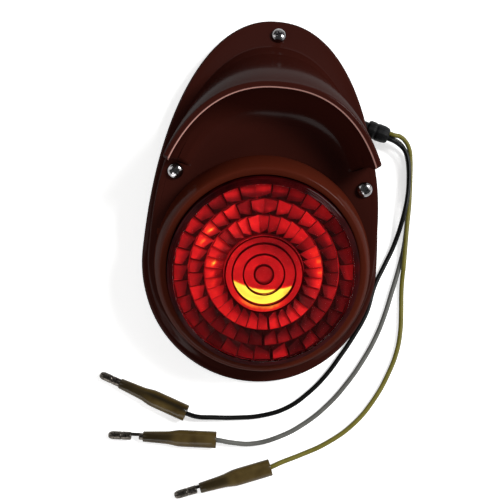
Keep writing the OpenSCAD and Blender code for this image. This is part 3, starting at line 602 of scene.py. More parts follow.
def studio_paper(add, place, colour):
    """White seamless paper, pale and matt with fine fibres, so that it keeps the soft shadow of the part."""
    # Fibres lie 1.5 mm apart
    fibre = add("TexNoise", {"Vector": place, "Scale": 1 / (1.5 * MM), "Detail": 3.0})
    rough = add("MapRange", {"Value": fibre, "To Min": 0.85, "To Max": 0.95})
    # The eye, metal and glass all see the white. Light that bounces off the paper is greyer, so that the
    # flanks of the paint stay dark
    rays = add("LightPath").outputs
    first = add("Math", {0: rays["Is Camera Ray"], 1: rays["Is Glossy Ray"]}, operation="ADD")
    seen = add("Math", {0: first, 1: rays["Is Transmission Ray"]}, operation="ADD", use_clamp=True)
    tone = add("Mix", {"Factor": seen, "A": linear("#6a6a69"), "B": colour}, data_type="RGBA")
    # Away from the object the paper fades to plain white, and near it the soft shadow stays
    away = add("VectorMath", {0: place}, operation="LENGTH")
    white = add("MapRange", {"Value": away, "From Min": 0.3, "From Max": 1.0, "To Min": 0.62, "To Max": 1.0})
    return add("BsdfPrincipled", {
        "Base Color": tone, "Roughness": rough, "Specular IOR Level": 0.1,
        "Emission Color": (1.0, 1.0, 1.0, 1.0),
        "Emission Strength": add("Math", {0: white, 1: seen}, operation="MULTIPLY")})


# Finishes that follow one grain. Each has the grain's width in mm, its detail and its roughness, the dark
# and the light tone, the polish at each, the strength and the depth in mm of its relief, and the rest of
# its shader
METAL = {"Metallic": 1.0}
RIGID = {"IOR": 1.5}
RUBBER = {"IOR": 1.5, "Specular IOR Level": 0.12}
SOFT_PVC = {"IOR": 1.53, "Specular IOR Level": 0.12}
GRAINED = {
    # Moulded EPDM rubber: matt black, slightly grey where it is rubbed, with fine mould grain
    "black_epdm_moulded": ((0.8, 4, 0.6), ("#080809", "#141415"), (0.42, 0.62), (0.3, 0.08), RUBBER),
    # Extruded PVC insulation: even colour with a soft sheen and faint streaks
    "black_wire_pvc": ((6, 3, 0.5), ("#060606", "#0e0e0d"), (0.28, 0.42), (0.15, 0.05), SOFT_PVC),
    "grey_wire_pvc": ((6, 3, 0.5), ("#5d5d59", "#6c6c67"), (0.28, 0.42), (0.15, 0.05), SOFT_PVC),
    "yellow_wire_pvc": ((6, 3, 0.5), ("#676124", "#777032"), (0.28, 0.42), (0.15, 0.05), SOFT_PVC),
    # Moulded white ABS: bright and smooth, with a slight change of gloss
    "white_abs_moulded": ((5, 4, 0.5), ("#dcdcd6", "#efefe9"), (0.3, 0.45), (0.2, 0.05), RIGID),
    # Pressed phenolic paper board: brown and nearly matt, with fine fibres
    "brown_phenolic_board": ((0.7, 4, 0.5), ("#5a3620", "#7a4c2e"), (0.5, 0.7), (0.2, 0.05), RIGID),
    # Zinc plated steel: pale blue-grey with a dull bright grain
    "zinc_plated_steel": ((1.2, 5, 0.6), ("#8d9296", "#b4b8ba"), (0.32, 0.5), (0.2, 0.04), METAL),
    # Chrome plated steel of the screws: nearly mirror bright
    "chrome_plated_steel": ((1.5, 5, 0.6), ("#6f6d6e", "#a3a1a2"), (0.08, 0.2), (0.1, 0.04), METAL),
    # Tin plated brass gone dark grey, with rubbed bright patches
    "tarnished_tin_plate": ((0.9, 5, 0.6), ("#1e1a17", "#6a645d"), (0.18, 0.42), (0.4, 0.04), METAL),
    # Drawn and blued spring steel wire: grey with a dull shine
    "spring_steel_wire": ((1.0, 5, 0.6), ("#5c5f62", "#8a8d90"), (0.25, 0.4), (0.2, 0.04), METAL),
    # Pressed brass: warm yellow with a soft shine
    "pressed_brass": ((1.4, 5, 0.6), ("#a07c3a", "#c8a45a"), (0.25, 0.42), (0.2, 0.04), METAL),
    # Soft solder, melted on in drops: pale grey and frosted
    "soft_solder": ((0.9, 5, 0.6), ("#8e8e90", "#b9b9ba"), (0.35, 0.55), (0.2, 0.04), METAL),
    # Drawn tungsten wire on its bead of glass: dark grey with a dull shine
    "tungsten_and_glass_bead": ((0.8, 5, 0.6), ("#5d5d5f", "#8f8f90"), (0.3, 0.5), (0.2, 0.04), METAL),
}


def one_grain(add, place, grain, tones, polish, relief, shader):
    """Surface whose tone, polish and relief all follow one grain."""
    spots = add("TexNoise", {
        "Vector": place, "Scale": 1 / (grain[0] * MM), "Detail": grain[1], "Roughness": grain[2]})
    tone = add("ValToRGB", {"Fac": spots}, ((0.3, tones[0]), (0.7, tones[1])))
    rough = add("MapRange", {"Value": spots, "To Min": polish[0], "To Max": polish[1]})
    bump = add("Bump", {"Strength": relief[0], "Distance": relief[1] * MM, "Height": spots})
    return add("BsdfPrincipled", {"Base Color": tone, "Roughness": rough, "Normal": bump, **shader})


def grained(name):
    """The material of a grained finish."""
    return made(name, one_grain, *GRAINED[name])


# Settings


def length(name, description, default, low, high):
    return FloatProperty(
        name=name, description=description, default=default, min=low, max=high, unit="LENGTH")


def colour(name, description, code):
    return FloatVectorProperty(
        name=name, description=description, default=linear(code), size=4, min=0, max=1, subtype="COLOR")


def power(name, description, default):
    return FloatProperty(name=name, description=description, default=default, min=0, unit="POWER")


class TailLightShell(bpy.types.PropertyGroup):
    """Sizes and colours of the painted shell."""
    visor_height: length(
        "Visor height", "Height of the visor's edge above the front wall", 0.02, 0.018, 0.021)
    visor_flare: length(
        "Visor flare", "How much wider the visor's edge is than the front wall, at each side",
        0.0034, 0.0025, 0.004)
    visor_thickness: length("Visor thickness", "Thickness of the visor at its edge", 0.003, 0.0025, 0.0035)
    visor_start: FloatProperty(
        name="Visor start", description="Angle round the front wall at which the visor rises",
        default=math.radians(33), min=math.radians(32), max=math.radians(34), subtype="ANGLE")
    paint: colour("Paint", "Colour of the enamel", "#32130e")
    # The drum's colour is the paint made lighter and browner, as painted light
    drum_paint: colour("Drum paint", "Colour of the enamel on the drum", "#471a0f")


class TailLightLens(bpy.types.PropertyGroup):
    """Sizes and colour of the lens."""
    radius: length("Radius", "Radius of the lens", 0.043, 0.0425, 0.0432)
    prism_count: IntProperty(name="Prisms", description="Prisms in each ring", default=32, min=24, max=36)
    prism_depth: length("Prism depth", "Depth of the prisms on the inside", 0.0016, 0.001, 0.002)
    tint: colour("Tint", "Tint of the clear outer layer", "#fff0ea")


class TailLightLeads(bpy.types.PropertyGroup):
    """Size of the free leads."""
    diameter: length("Diameter", "Diameter of each lead over its insulation", 0.0023, 0.0021, 0.0024)


class TailLightStage(bpy.types.PropertyGroup):
    """Floor and light of the studio."""
    floor_colour: colour("Floor", "Colour of the floor", "#fbfbfa")
    top_power: power("Top light", "Power of the high lamp at the upper right", 14.0)
    back_power: power("Back light", "Power of the low lamp behind the visor", 0.8)
    side_power: power("Side lights", "Power of each low lamp beside the part", 2.6)
    front_power: power("Front light", "Power of the low lamp in front", 4.0)


# Operators


class Build:
    """Shared by the operators: they run once the frame is loaded."""
    bl_options = {"REGISTER"}

    @classmethod
    def poll(cls, context):
        return bool(frame["nodes"])


def aimed(obj, location, target, roll=0.0):
    """Points a camera or lamp at a target, with the world's Y axis up in its picture."""
    back = (Vector(location) - Vector(target)).normalized()
    top = (Vector((0, 1, 0)) - back * back.y).normalized()
    right = top.cross(back)
    turned_top = top * math.cos(roll) + right * math.sin(roll)
    turned_right = right * math.cos(roll) - top * math.sin(roll)
    turn = Matrix((turned_right, turned_top, back)).transposed().to_4x4()
    obj.matrix_world = Matrix.Translation(location) @ turn
    bpy.context.scene.collection.objects.link(obj)
    return obj


class TAILLIGHT_OT_stage(Build, bpy.types.Operator):
    """Makes the camera, the floor, the world and the lamps"""
    bl_idname = "tail_light.stage"
    bl_label = "Stage"

    def execute(self, context):
        settings = context.scene.tail_light_stage
        camera = bpy.data.cameras.new("camera")
        camera.sensor_width = SENSOR_W
        camera.lens = FOCAL_PX / PHOTO_PX * SENSOR_W
        camera.clip_start = 0.02
        camera.clip_end = 20.0
        eye = bpy.data.objects.new("camera", camera)
        context.scene.camera = aimed(eye, CAMERA_PLACE, CAMERA_AIM, CAMERA_ROLL)

        # Paper laid flat under the object and swept up into a low wall all round
        sweep = [(2000 + 600 * math.sin(s), 600 - 600 * math.cos(s)) for s in quarter(6)[1:]]
        profile = [(500, 0), (1200, 0), (2000, 0)] + sweep + [(2600, 1000)]
        points, faces = turned(profile, 48, closed=False)
        faces.append(tuple(range(0, len(points), len(profile))))
        floor = mesh_object("studio_sweep", points, faces, Matrix.Translation((0, 0, -0.3)))
        floor.data.materials.append(made("white_studio_paper", studio_paper, settings.floor_colour))

        world = bpy.data.worlds.new("studio")
        context.scene.world = world
        world.use_nodes = True
        background = world.node_tree.nodes["Background"]
        background.inputs["Color"].default_value = (1.0, 1.0, 1.0, 1.0)
        background.inputs["Strength"].default_value = 0.1
        for name, place, power_now, width, height in (
                ("top_lamp", (0.75, 0.3, 1.05), settings.top_power, 0.5, 0.3),
                ("back_lamp", (0.1, 0.95, 0.75), settings.back_power, 1.0, 0.6),
                ("left_lamp", (-1.0, 0.05, 0.8), settings.side_power, 0.9, 0.6),
                ("right_lamp", (1.0, 0.0, 0.8), settings.side_power, 0.9, 0.6),
                ("front_lamp", (-0.3, -1.0, 0.45), settings.front_power, 0.9, 0.4)):
            lamp = bpy.data.lights.new(name, "AREA")
            lamp.shape = "RECTANGLE"
            lamp.energy = power_now
            lamp.size = width
            lamp.size_y = height
            aimed(bpy.data.objects.new(name, lamp), place, (0.0, -0.02, 0.03))
        context.scene.view_settings.view_transform = "Standard"
        return {"FINISHED"}


def plug_matrix(name):
    """Matrix in mm from a terminal's own axis, X towards the bullet, to the frame."""
    place, heading, _ = PLUGS[name]
    slope = math.atan((SLEEVE_BACK_R - SLEEVE_FRONT_R) / SLEEVE_LEN)
    return (Matrix.Translation((place[0], place[1], SLEEVE_BACK_R + 0.02))
            @ Matrix.Rotation(math.radians(heading), 4, "Z") @ Matrix.Rotation(slope, 4, "Y"))


def crimp_start(name):
    """How far along its own axis a terminal's crimp starts, in mm."""
    return SLEEVE_LEN + PLUGS[name][2] - BULLET_LEN


class TAILLIGHT_OT_leads(Build, bpy.types.Operator):
    """Lays the three free leads from the boot to their terminals"""
    bl_idname = "tail_light.leads"
    bl_label = "Free leads"

    def execute(self, context):
        width = context.scene.tail_light_leads.diameter
        for name, route in ROUTES.items():
            start = EXITS[name]
            crimp = crimp_start(name)
            in_plug = [plug_matrix(name) @ Vector((x, 0, 0)) for x in (0.0, crimp / 2, crimp)]
            points = [start, start + BOOT_DIR * 2.6] + [Vector(p) for p in route] + in_plug
            curve = bpy.data.curves.new("lead_" + name, "CURVE")
            curve.dimensions = "3D"
            curve.bevel_depth = width / 2
            curve.bevel_resolution = 5
            curve.use_fill_caps = True
            curve.resolution_u = 8
            spline = curve.splines.new("BEZIER")
            spline.bezier_points.add(len(points) - 1)
            for knot, point in zip(spline.bezier_points, points):
                knot.co = point * MM
                knot.handle_left_type = knot.handle_right_type = "AUTO"
            lead = bpy.data.objects.new("lead_" + name, curve)
            context.scene.collection.objects.link(lead)
            finish_piece(lead, grained(name + "_wire_pvc"), "wire_" + name)
        return {"FINISHED"}


class TAILLIGHT_OT_shell(Build, bpy.types.Operator):
    """Makes the painted shell with its skirt, hood and visor"""
    bl_idname = "tail_light.shell"
    bl_label = "Painted shell"

    def execute(self, context):
        settings = context.scene.tail_light_shell
        start = math.degrees(settings.visor_start)
        rows = [shell_section(a, settings.visor_height / MM, settings.visor_thickness / MM, start,
                              settings.visor_flare / MM) for a in ANGLES]
        shell = solid("painted_shell", [swept(rows)], sharp=40)
        # The painted highlight along the visor's inner edge fades where the visor sinks to its free ends
        rubbed = shell.data.attributes.new("rubbed", "FLOAT", "POINT")
        for i, angle in enumerate(ANGLES):
            for j, share in RUBBED.items():
                rubbed.data[i * len(rows[0]) + j].value = share * rise(angle, start)
        enamel = made("maroon_stoved_enamel", sprayed_enamel, settings.paint)
        finish_piece(shell, enamel, "housing")
        return {"FINISHED"}


class TAILLIGHT_OT_bezel(Build, bpy.types.Operator):
    """Makes the front wall and the drum that holds the lens"""
    bl_idname = "tail_light.bezel"
    bl_label = "Front wall and drum"

    def execute(self, context):
        settings = context.scene.tail_light_shell
        start = math.degrees(settings.visor_start)
        rows = []
        for a in ANGLES:
            edge = wall_pt(a, PANEL_INSET + fillet_w(a, start))
            hole = edge.normalized() * PANEL_HOLE_R
            bevel = edge * (1 - 0.06 / edge.length)
            rows.append([at_z(edge, -PANEL_T), at_z(edge, -0.05), at_z(bevel, 0.0), at_z(hole, 0.0),
                         at_z(hole, -PANEL_T)])
        bezel = solid("painted_bezel", [turned(self.drum_profile(), 192), swept(rows)], FRONT, 35)
        enamel = made("maroon_stoved_enamel", sprayed_enamel, settings.paint)
        finish_piece(bezel, enamel, "front_panel")
        # The drum takes a lighter, browner copy of the wall's enamel, as painted light on the drum
        drum_enamel = made("brown_maroon_stoved_enamel", sprayed_enamel, settings.drum_paint)
        second_finish(bezel, drum_enamel, lambda away, height: away < DRUM_R and height > 0)
        return {"FINISHED"}

    def drum_profile(self):
        """Side that swells inwards to the mouth, rounded lip, and bore with a step for the lens."""
        side = [(DRUM_R - 0.1, -PANEL_T + 0.1), (DRUM_R - 0.06, 0.5)]
        for s in [math.radians(4 * k) for k in range(3, 23)]:
            side.append((DRUM_MOUTH_R + (DRUM_R - DRUM_MOUTH_R) * math.cos(s), DRUM_H * math.sin(s)))
        lip = [(DRUM_MOUTH_R - 0.25, DRUM_H - 0.02), (DRUM_MOUTH_R - 0.7, DRUM_H),
               (MOUTH_BORE_R + 0.4, DRUM_H), (MOUTH_BORE_R + 0.1, DRUM_H - 0.12),
               (MOUTH_BORE_R, DRUM_H - 0.4)]
        bore = [(MOUTH_BORE_R, LIP_BACK), (DRUM_BORE_R, LIP_BACK), (DRUM_BORE_R, -PANEL_T + 0.1)]
        return side + lip + bore


class TAILLIGHT_OT_gasket(Build, bpy.types.Operator):
    """Makes the rubber gasket under the shell"""
    bl_idname = "tail_light.gasket"
    bl_label = "Base gasket"

    def execute(self, context):
        section = ((0.3, 0.0), (0.05, 0.3), (0.0, 1.0), (0.05, 2.0), (0.0, 2.7), (0.25, GASKET_T),
                   (3.9, GASKET_T), (3.9, 1.5), (7.9, 1.5), (7.9, 0.0))
        rows = [[at_z(base_pt(a, inset), z) for inset, z in section] for a in ANGLES]
        gasket = solid("base_seal", [swept(rows)])
        finish_piece(gasket, grained("black_epdm_moulded"), "base_gasket")
        return {"FINISHED"}


# Painted light of each ring of prisms: its level, then how much more or less light is painted on it, as if
# from the bowl, at an angle in degrees, within a width in degrees
RING_TONES = (
    (0.59, (165, 40, 0.22), (40, 30, 0.06), (300, 60, -0.04)),
    (0.36, (155, 28, 0.36), (60, 18, 0.26), (202, 24, 0.20), (118, 12, 0.08), (270, 45, -0.08)),
    (0.33, (60, 16, 0.30), (140, 36, 0.22), (0, 18, 0.14), (330, 25, -0.10), (240, 20, -0.02),
     (275, 18, 0.08)),
)
# Painted highlights, where a prism would show the bright part of the bowl: ring, angle, place along the
# prism, width, amount
HOT_SPOTS = (
    (0, 8, 0.88, 18, 0.24), (0, 180, 0.5, 24, 0.22), (1, 150, 0.5, 13, 0.24), (1, 34, 0.9, 8, 0.34),
    (2, 92, 0.6, 20, 0.26), (1, 92, 0.2, 26, 0.34), (0, 90, 0.1, 30, 0.16),
)
# How uneven the prisms of a ring are, and the brightest tone that a flank has outside the painted hot spots
UNEVENNESS = 0.40
BRIGHTEST_BROAD = 0.76
BRIGHTEST_NARROW = 0.74


def near(angle, centre, width):
    """From 1 at an angle down to 0 away from it, in degrees."""
    return math.exp(-(((angle - centre + 180) % 360 - 180) / width) ** 2)


def ring_tone(ring, angle, chance):
    """Painted light of the prisms of a ring at an angle, where chance makes each one differ."""
    level, *lobes = RING_TONES[ring]
    tone = level + sum(gain * near(angle, centre, width) for centre, width, gain in lobes)
    return tone * (1 + UNEVENNESS * chance)


def flank_tone(ring, angle, along, across, chance):
    """Painted light of a prism's broad flank from 0 to 1, by its place along and across the prism."""
    # Painted shade at the flank's inner end, painted highlights at the hot spots
    tone = min(ring_tone(ring, angle, chance) * mix(0.62, 1.22, smoothstep(0, 0.7, along)), BRIGHTEST_BROAD)
    for place, centre, middle, width, gain in HOT_SPOTS:
        if place == ring:
            spread = math.exp(-((along - middle) / 0.25) ** 2) * (1 - 1.4 * abs(across - 0.5))
            tone += gain * near(angle, centre, width) * spread
    return clamp01(tone)


def border_tone(p):
    """Painted tone of the step between two rings: a painted highlight line at the left and right, painted
    shade below.
    """
    angle = math.degrees(math.atan2(p.y, p.x))
    return 0.22 + 0.52 * near(angle, 175, 50) + 0.40 * near(angle, 10, 40)


def disc_tone(p):
    """Painted light of the grooved centre disc, with a painted warm highlight low in it."""
    r = math.hypot(p.x, p.y)
    # The dimple is painted darker towards its rim and its top, as painted shade
    if r < DIMPLE_R + 0.05:
        return 0.64 - 0.08 * smoothstep(-3, 3, p.y) - 0.30 * smoothstep(3.4, DIMPLE_R, r)
    # The grooves are painted dark, as painted shade
    if min(abs(r - groove) for groove in DISC_GROOVES) < 0.2:
        return 0.10
    angle = math.degrees(math.atan2(p.y, p.x))
    # Painted shade towards the upper right, a little painted light at the left
    tone = 0.70 - 0.26 * near(angle, 68, 42) * smoothstep(7, 15, r) + 0.05 * near(angle, 180, 60)
    # The painted highlight has a sharp upper edge, curved like the bowl's own rim
    edge = -3.4 - 2.8 * (1 - min(1.0, (p.x / 12.5) ** 2))
    inside = smoothstep(0.0, 1.6, edge - p.y)
    if r < DISC_GROOVES[-1]:
        return mix(tone, 1.04 - 0.04 * smoothstep(5, 12, abs(p.x)), inside)
    warm = smoothstep(-9.0, -14.0, p.y) * (1 - 0.7 * smoothstep(15.5, 17.4, r))
    return mix(tone, 0.93, inside * warm)


class Facets:
    """Points in mm, faces and the painted light tone at each corner of each face, gathered for one mesh."""

    def __init__(self):
        self.points, self.faces, self.tones = [], [], []

    def point(self, radius, angle, height):
        """Adds a point and gives its number."""
        self.points.append(polar(radius, angle, height))
        return len(self.points) - 1

    def ring(self, radius, height, count, turn=0.0):
        """Adds a ring of points and gives their numbers."""
        return [self.point(radius, a, height) for a in full_turn(count, turn)]

    def face(self, corners, tone):
        """Adds a face, with a tone that is a number or a function of a point."""
        self.faces.append(corners)
        self.tones += [tone(self.points[i]) if callable(tone) else tone for i in corners]

    def band(self, first, second, tone):
        """Joins two rings of as many points with four-sided faces."""
        for a, b, b2, a2 in zip(first, second, second[1:] + second[:1], first[1:] + first[:1]):
            self.face((a, b, b2, a2), tone)

    def bridge(self, first, second, tone):
        """Joins two rings whose numbers of points may differ, in triangles."""
        def opened(ring):
            """The ring's points by their angle, and the first again a full turn on."""
            order = sorted((math.atan2(self.points[i].y, self.points[i].x) % (2 * math.pi), i) for i in ring)
            return order + [(order[0][0] + 2 * math.pi, order[0][1])]

        a, b = opened(first), opened(second)
        i = j = 0
        while i + 1 < len(a) or j + 1 < len(b):
            if j + 1 == len(b) or (i + 1 < len(a) and a[i + 1][0] <= b[j + 1][0]):
                self.face((a[i][1], b[j][1], a[i + 1][1]), tone)
                i += 1
            else:
                self.face((a[i][1], b[j][1], b[j + 1][1]), tone)
                j += 1

    def flank(self, corners, tone):
        """Adds a four-sided face in 4 strips along and 2 across, with a tone by the place in it."""
        a, b, c, d = corners
        grid = {(0, 0): a, (0, 2): b, (4, 2): c, (4, 0): d}
        for i in range(5):
            for j in range(3):
                if (i, j) not in grid:
                    ends = [mix(self.points[p], self.points[q], j / 2) for p, q in ((a, b), (d, c))]
                    self.points.append(mix(ends[0], ends[1], i / 4))
                    grid[i, j] = len(self.points) - 1
        for i in range(4):
            for j in range(2):
                places = ((i, j), (i, j + 1), (i + 1, j + 1), (i + 1, j))
                self.faces.append(tuple(grid[place] for place in places))
                self.tones += [tone(along / 4, across / 2) for along, across in places]


class TAILLIGHT_OT_lens(Build, bpy.types.Operator):
    """Makes the clear red lens with its stepped rim, and the prisms behind its face"""
    bl_idname = "tail_light.lens"
    bl_label = "Lens"

    def execute(self, context):
        settings = context.scene.tail_light_lens
        self.outer_layer(settings.radius / MM, settings.tint)
        self.prisms(settings.prism_count, settings.prism_depth / MM)
        return {"FINISHED"}

    def outer_layer(self, r, tint):
        h = LENS_TOP
        face = [(0, h)]
        for groove in FACE_GROOVES:
            face += [(groove - 0.35, h), (groove - 0.12, h - 0.3)]
            face += [(groove + 0.12, h - 0.3), (groove + 0.35, h)]
        rim = rounded([(r - 3.0, h), (r - 2.5, h - 0.5), (r - 1.8, h - 0.7), (r - 1.7, h - 1.4),
                       (r - 1.0, h - 1.6), (r - 0.9, h - 2.3), (r - 0.2, h - 2.6), (r, h - 3.4)], 0.25, 3)
        flange = [(r, FLANGE_FRONT), (FLANGE_R, FLANGE_FRONT), (FLANGE_R, FLANGE_BACK),
                  (r - 2.6, FLANGE_BACK)]
        back = [(r - 2.6, h - 3.0), (r - 3.0, h - 2.6), (0, h - 2.6)]
        lens = solid("lens_body", [turned(face + rim + flange + back, 160)], FRONT, 25)
        finish_piece(lens, made("clear_red_acrylic", red_acrylic, tint), "lens")
        # The stepped rim, the flange and the grooves take a darker copy of the acrylic, as painted shade
        # where the light in them runs along the plastic
        deep = made("deep_red_acrylic_rim", rim_acrylic)
        second_finish(lens, deep, lambda away, height:
                      away > r - 2.7 or (h - 0.5 < height < h - 0.05 and away < FACE_GROOVES[-1] + 0.8))

    def prisms(self, count, depth):
        high = LENS_TOP - LENS_T
        low = high - depth
        facets = Facets()
        edge = self.disc(facets, 4 * count, high)
        for ring, (r_in, r_out) in enumerate(PRISM_RINGS):
            # The groove before this ring, with its painted highlight and shade, joins the last edge to the
            # ring's inner edge
            edge = self.prism_ring(facets, ring, r_in, r_out, count, low, high, edge)
        rim_low = facets.ring(PRISM_EDGE_R - 0.1, high - 0.6, 4 * count)
        rim_high = facets.ring(PRISM_EDGE_R, high - 0.1, 4 * count)
        back_rim = facets.ring(PRISM_EDGE_R, low - 2.5, 4 * count)
        # The prisms' outer rim takes painted tones: painted shade at the step, a lighter painted band beyond
        # it
        facets.bridge(edge, rim_low, 0.15)
        facets.band(rim_low, rim_high, 0.45)
        facets.band(rim_high, back_rim, 0.3)
        facets.face(tuple(reversed(back_rim)), 0.3)
        prisms = mesh_object("lens_prisms", facets.points, facets.faces, FRONT, 12)
        layer = prisms.data.attributes.new("glow", "FLOAT", "CORNER")
        if len(layer.data) != len(facets.tones):
            raise RuntimeError("the prism mesh lost a face")
        layer.data.foreach_set("value", facets.tones)
        finish_piece(prisms, made("red_acrylic_prisms", prism_acrylic), "lens")

    def disc(self, facets, segments, high):
        """Grooved centre disc with a dimple, in fine rings for a smooth change of tone. Gives its edge."""
        rows = []
        for r in DISC_RADII:
            dip = -1.0 * (1 - (r / DIMPLE_R) ** 2) if r < DIMPLE_R else 0.0
            if r == DIMPLE_R or r in DISC_GROOVES:
                dip -= 0.35
            rows.append(facets.ring(r, high + dip, segments))
        centre = facets.point(0, 0, high - 1.0)
        for a, b in zip(rows[0], rows[0][1:] + rows[0][:1]):
            facets.face((centre, a, b), disc_tone)
        for row, after in zip(rows, rows[1:]):
            facets.band(row, after, disc_tone)
        return rows[-1]

    def prism_ring(self, facets, ring, r_in, r_out, count, low, high, edge):
        """Ring of prisms with a broad and a narrow flank each, and sloped ends. Gives its outer edge."""
        turn = 0.5 * ring
        inner, outer = facets.ring(r_in, low, count, turn), facets.ring(r_out, low, count, turn)
        crests = []
        for k in range(count):
            lean = 0.11 if math.cos(2 * math.pi * (k + turn) / count) > 0 else 0.89
            a = 2 * math.pi * (k + turn + lean) / count
            crests.append((facets.point(r_in + 2.4, a, high), facets.point(r_out - 0.4, a, high)))
        for k, (start, end) in enumerate(crests):
            k2 = (k + 1) % count
            angle = 360 * (k + turn + 0.5) / count
            chance = noise.noise(Vector((ring * 7.3, k * 1.37, 0.5))) * 1.6
            broad, narrow = (start, inner[k2], outer[k2], end), (inner[k], start, end, outer[k])
            if math.cos(2 * math.pi * (k + turn) / count) <= 0:
                broad, narrow = narrow, broad
            facets.flank(broad, lambda along, across: flank_tone(ring, angle, along, across, chance))
            # At the left of the inner ring the narrow flanks take painted light as well, as if the bowl lit
            # them
            lit = 0.7 * near(angle, 165, 35) if ring == 0 else 0.0
            tone = ring_tone(ring, angle, chance)
            # The narrow flank and the sloped ends take painted shade, as darker shares of the ring's tone
            for face, share in (
                    (narrow, 0.30), ((inner[k], inner[k2], start), 0.26), ((end, outer[k2], outer[k]), 0.6)):
                facets.face(face, min(BRIGHTEST_NARROW, tone * mix(share, 0.9, lit)))
        facets.bridge(edge, inner, border_tone)
        return outer


class TAILLIGHT_OT_screws(Build, bpy.types.Operator):
    """Makes the cross-head screws on the hood and the front wall"""
    bl_idname = "tail_light.screws"
    bl_label = "Screws"

    def execute(self, context):
        on_front = [FRONT @ Matrix.Translation((side * PANEL_SCREW_X, PANEL_SCREW_Y, 0)) for side in (1, -1)]
        for name, place, turn, length_mm, node in (
                ("hood_pan_screw", Matrix.Translation(HOOD_SCREW), 0.5, 8.5, "hood_screw"),
                ("panel_pan_screw_right", on_front[0], 0.3, 11, "panel_screws"),
                ("panel_pan_screw_left", on_front[1], 0.9, 11, "panel_screws")):
            screw = self.screw(name, place @ Matrix.Rotation(turn, 4, "Z"), length_mm)
            finish_piece(screw, grained("chrome_plated_steel"), node)
        return {"FINISHED"}

    def screw(self, name, matrix, length_mm):
        """Pan head on a short shank, with a cross recess that narrows downwards."""
        profile = [(0, -length_mm), (1.6, -length_mm), (SHANK_R, -length_mm + 0.5), (SHANK_R, 0.0),
                   (HEAD_R - 0.25, 0.0), (HEAD_R, 0.2), (HEAD_R, 0.8)]
        profile += [(HEAD_R * math.cos(s), 0.8 + 1.8 * math.sin(s)) for s in quarter(8)[1:-1]] + [(0, HEAD_H)]
        head = solid(name, [turned(profile, 48)], matrix)
        w, reach, depth = 0.42, 2.0, 1.3
        outline = [(w, w), (w, reach), (-w, reach)]
        for k in range(9):
            outline.append((-outline[k][1], outline[k][0]))
        n = len(outline)
        points = [Vector((x * 0.6, y * 0.6, HEAD_H - depth)) for x, y in outline]
        points += [Vector((x, y, 3.2)) for x, y in outline]
        faces = [tuple(reversed(range(n))), tuple(range(n, 2 * n))]
        faces += [(k, (k + 1) % n, n + (k + 1) % n, n + k) for k in range(n)]
        return cut(head, solid("cross", [(points, faces)], matrix))


class TAILLIGHT_OT_boot(Build, bpy.types.Operator):
    """Makes the rubber boot where the leads come out"""
    bl_idname = "tail_light.boot"
    bl_label = "Cable boot"

    def execute(self, context):
        profile = rounded([(3.1, 0.0, 0), (3.1, 2.4, 0.2), (4.35, 2.9), (4.45, 6.0), (4.1, 6.9), (4.15, 7.3),
                           (4.42, 8.1), (4.35, 11.2), (3.85, 13.4), (2.9, BOOT_LEN, 0.4)], 0.6)
        points, faces = turned([(0, -0.2)] + profile + [(0, BOOT_LEN)], 64)
        # A shallow crease along the boot parts the rubber round the two upper leads
        for p in points:
            p.x *= 1 - 0.10 * math.exp(-(p.y / 0.9) ** 2)
        matrix = Matrix.Translation(BOOT_BASE) @ Matrix.Rotation(BOOT_TURN, 4, "Z") @ ALONG_X
        boot = solid("lead_boot", [(points, faces)], matrix, 35)
        finish_piece(boot, grained("black_epdm_moulded"), "cable_boot")
        return {"FINISHED"}


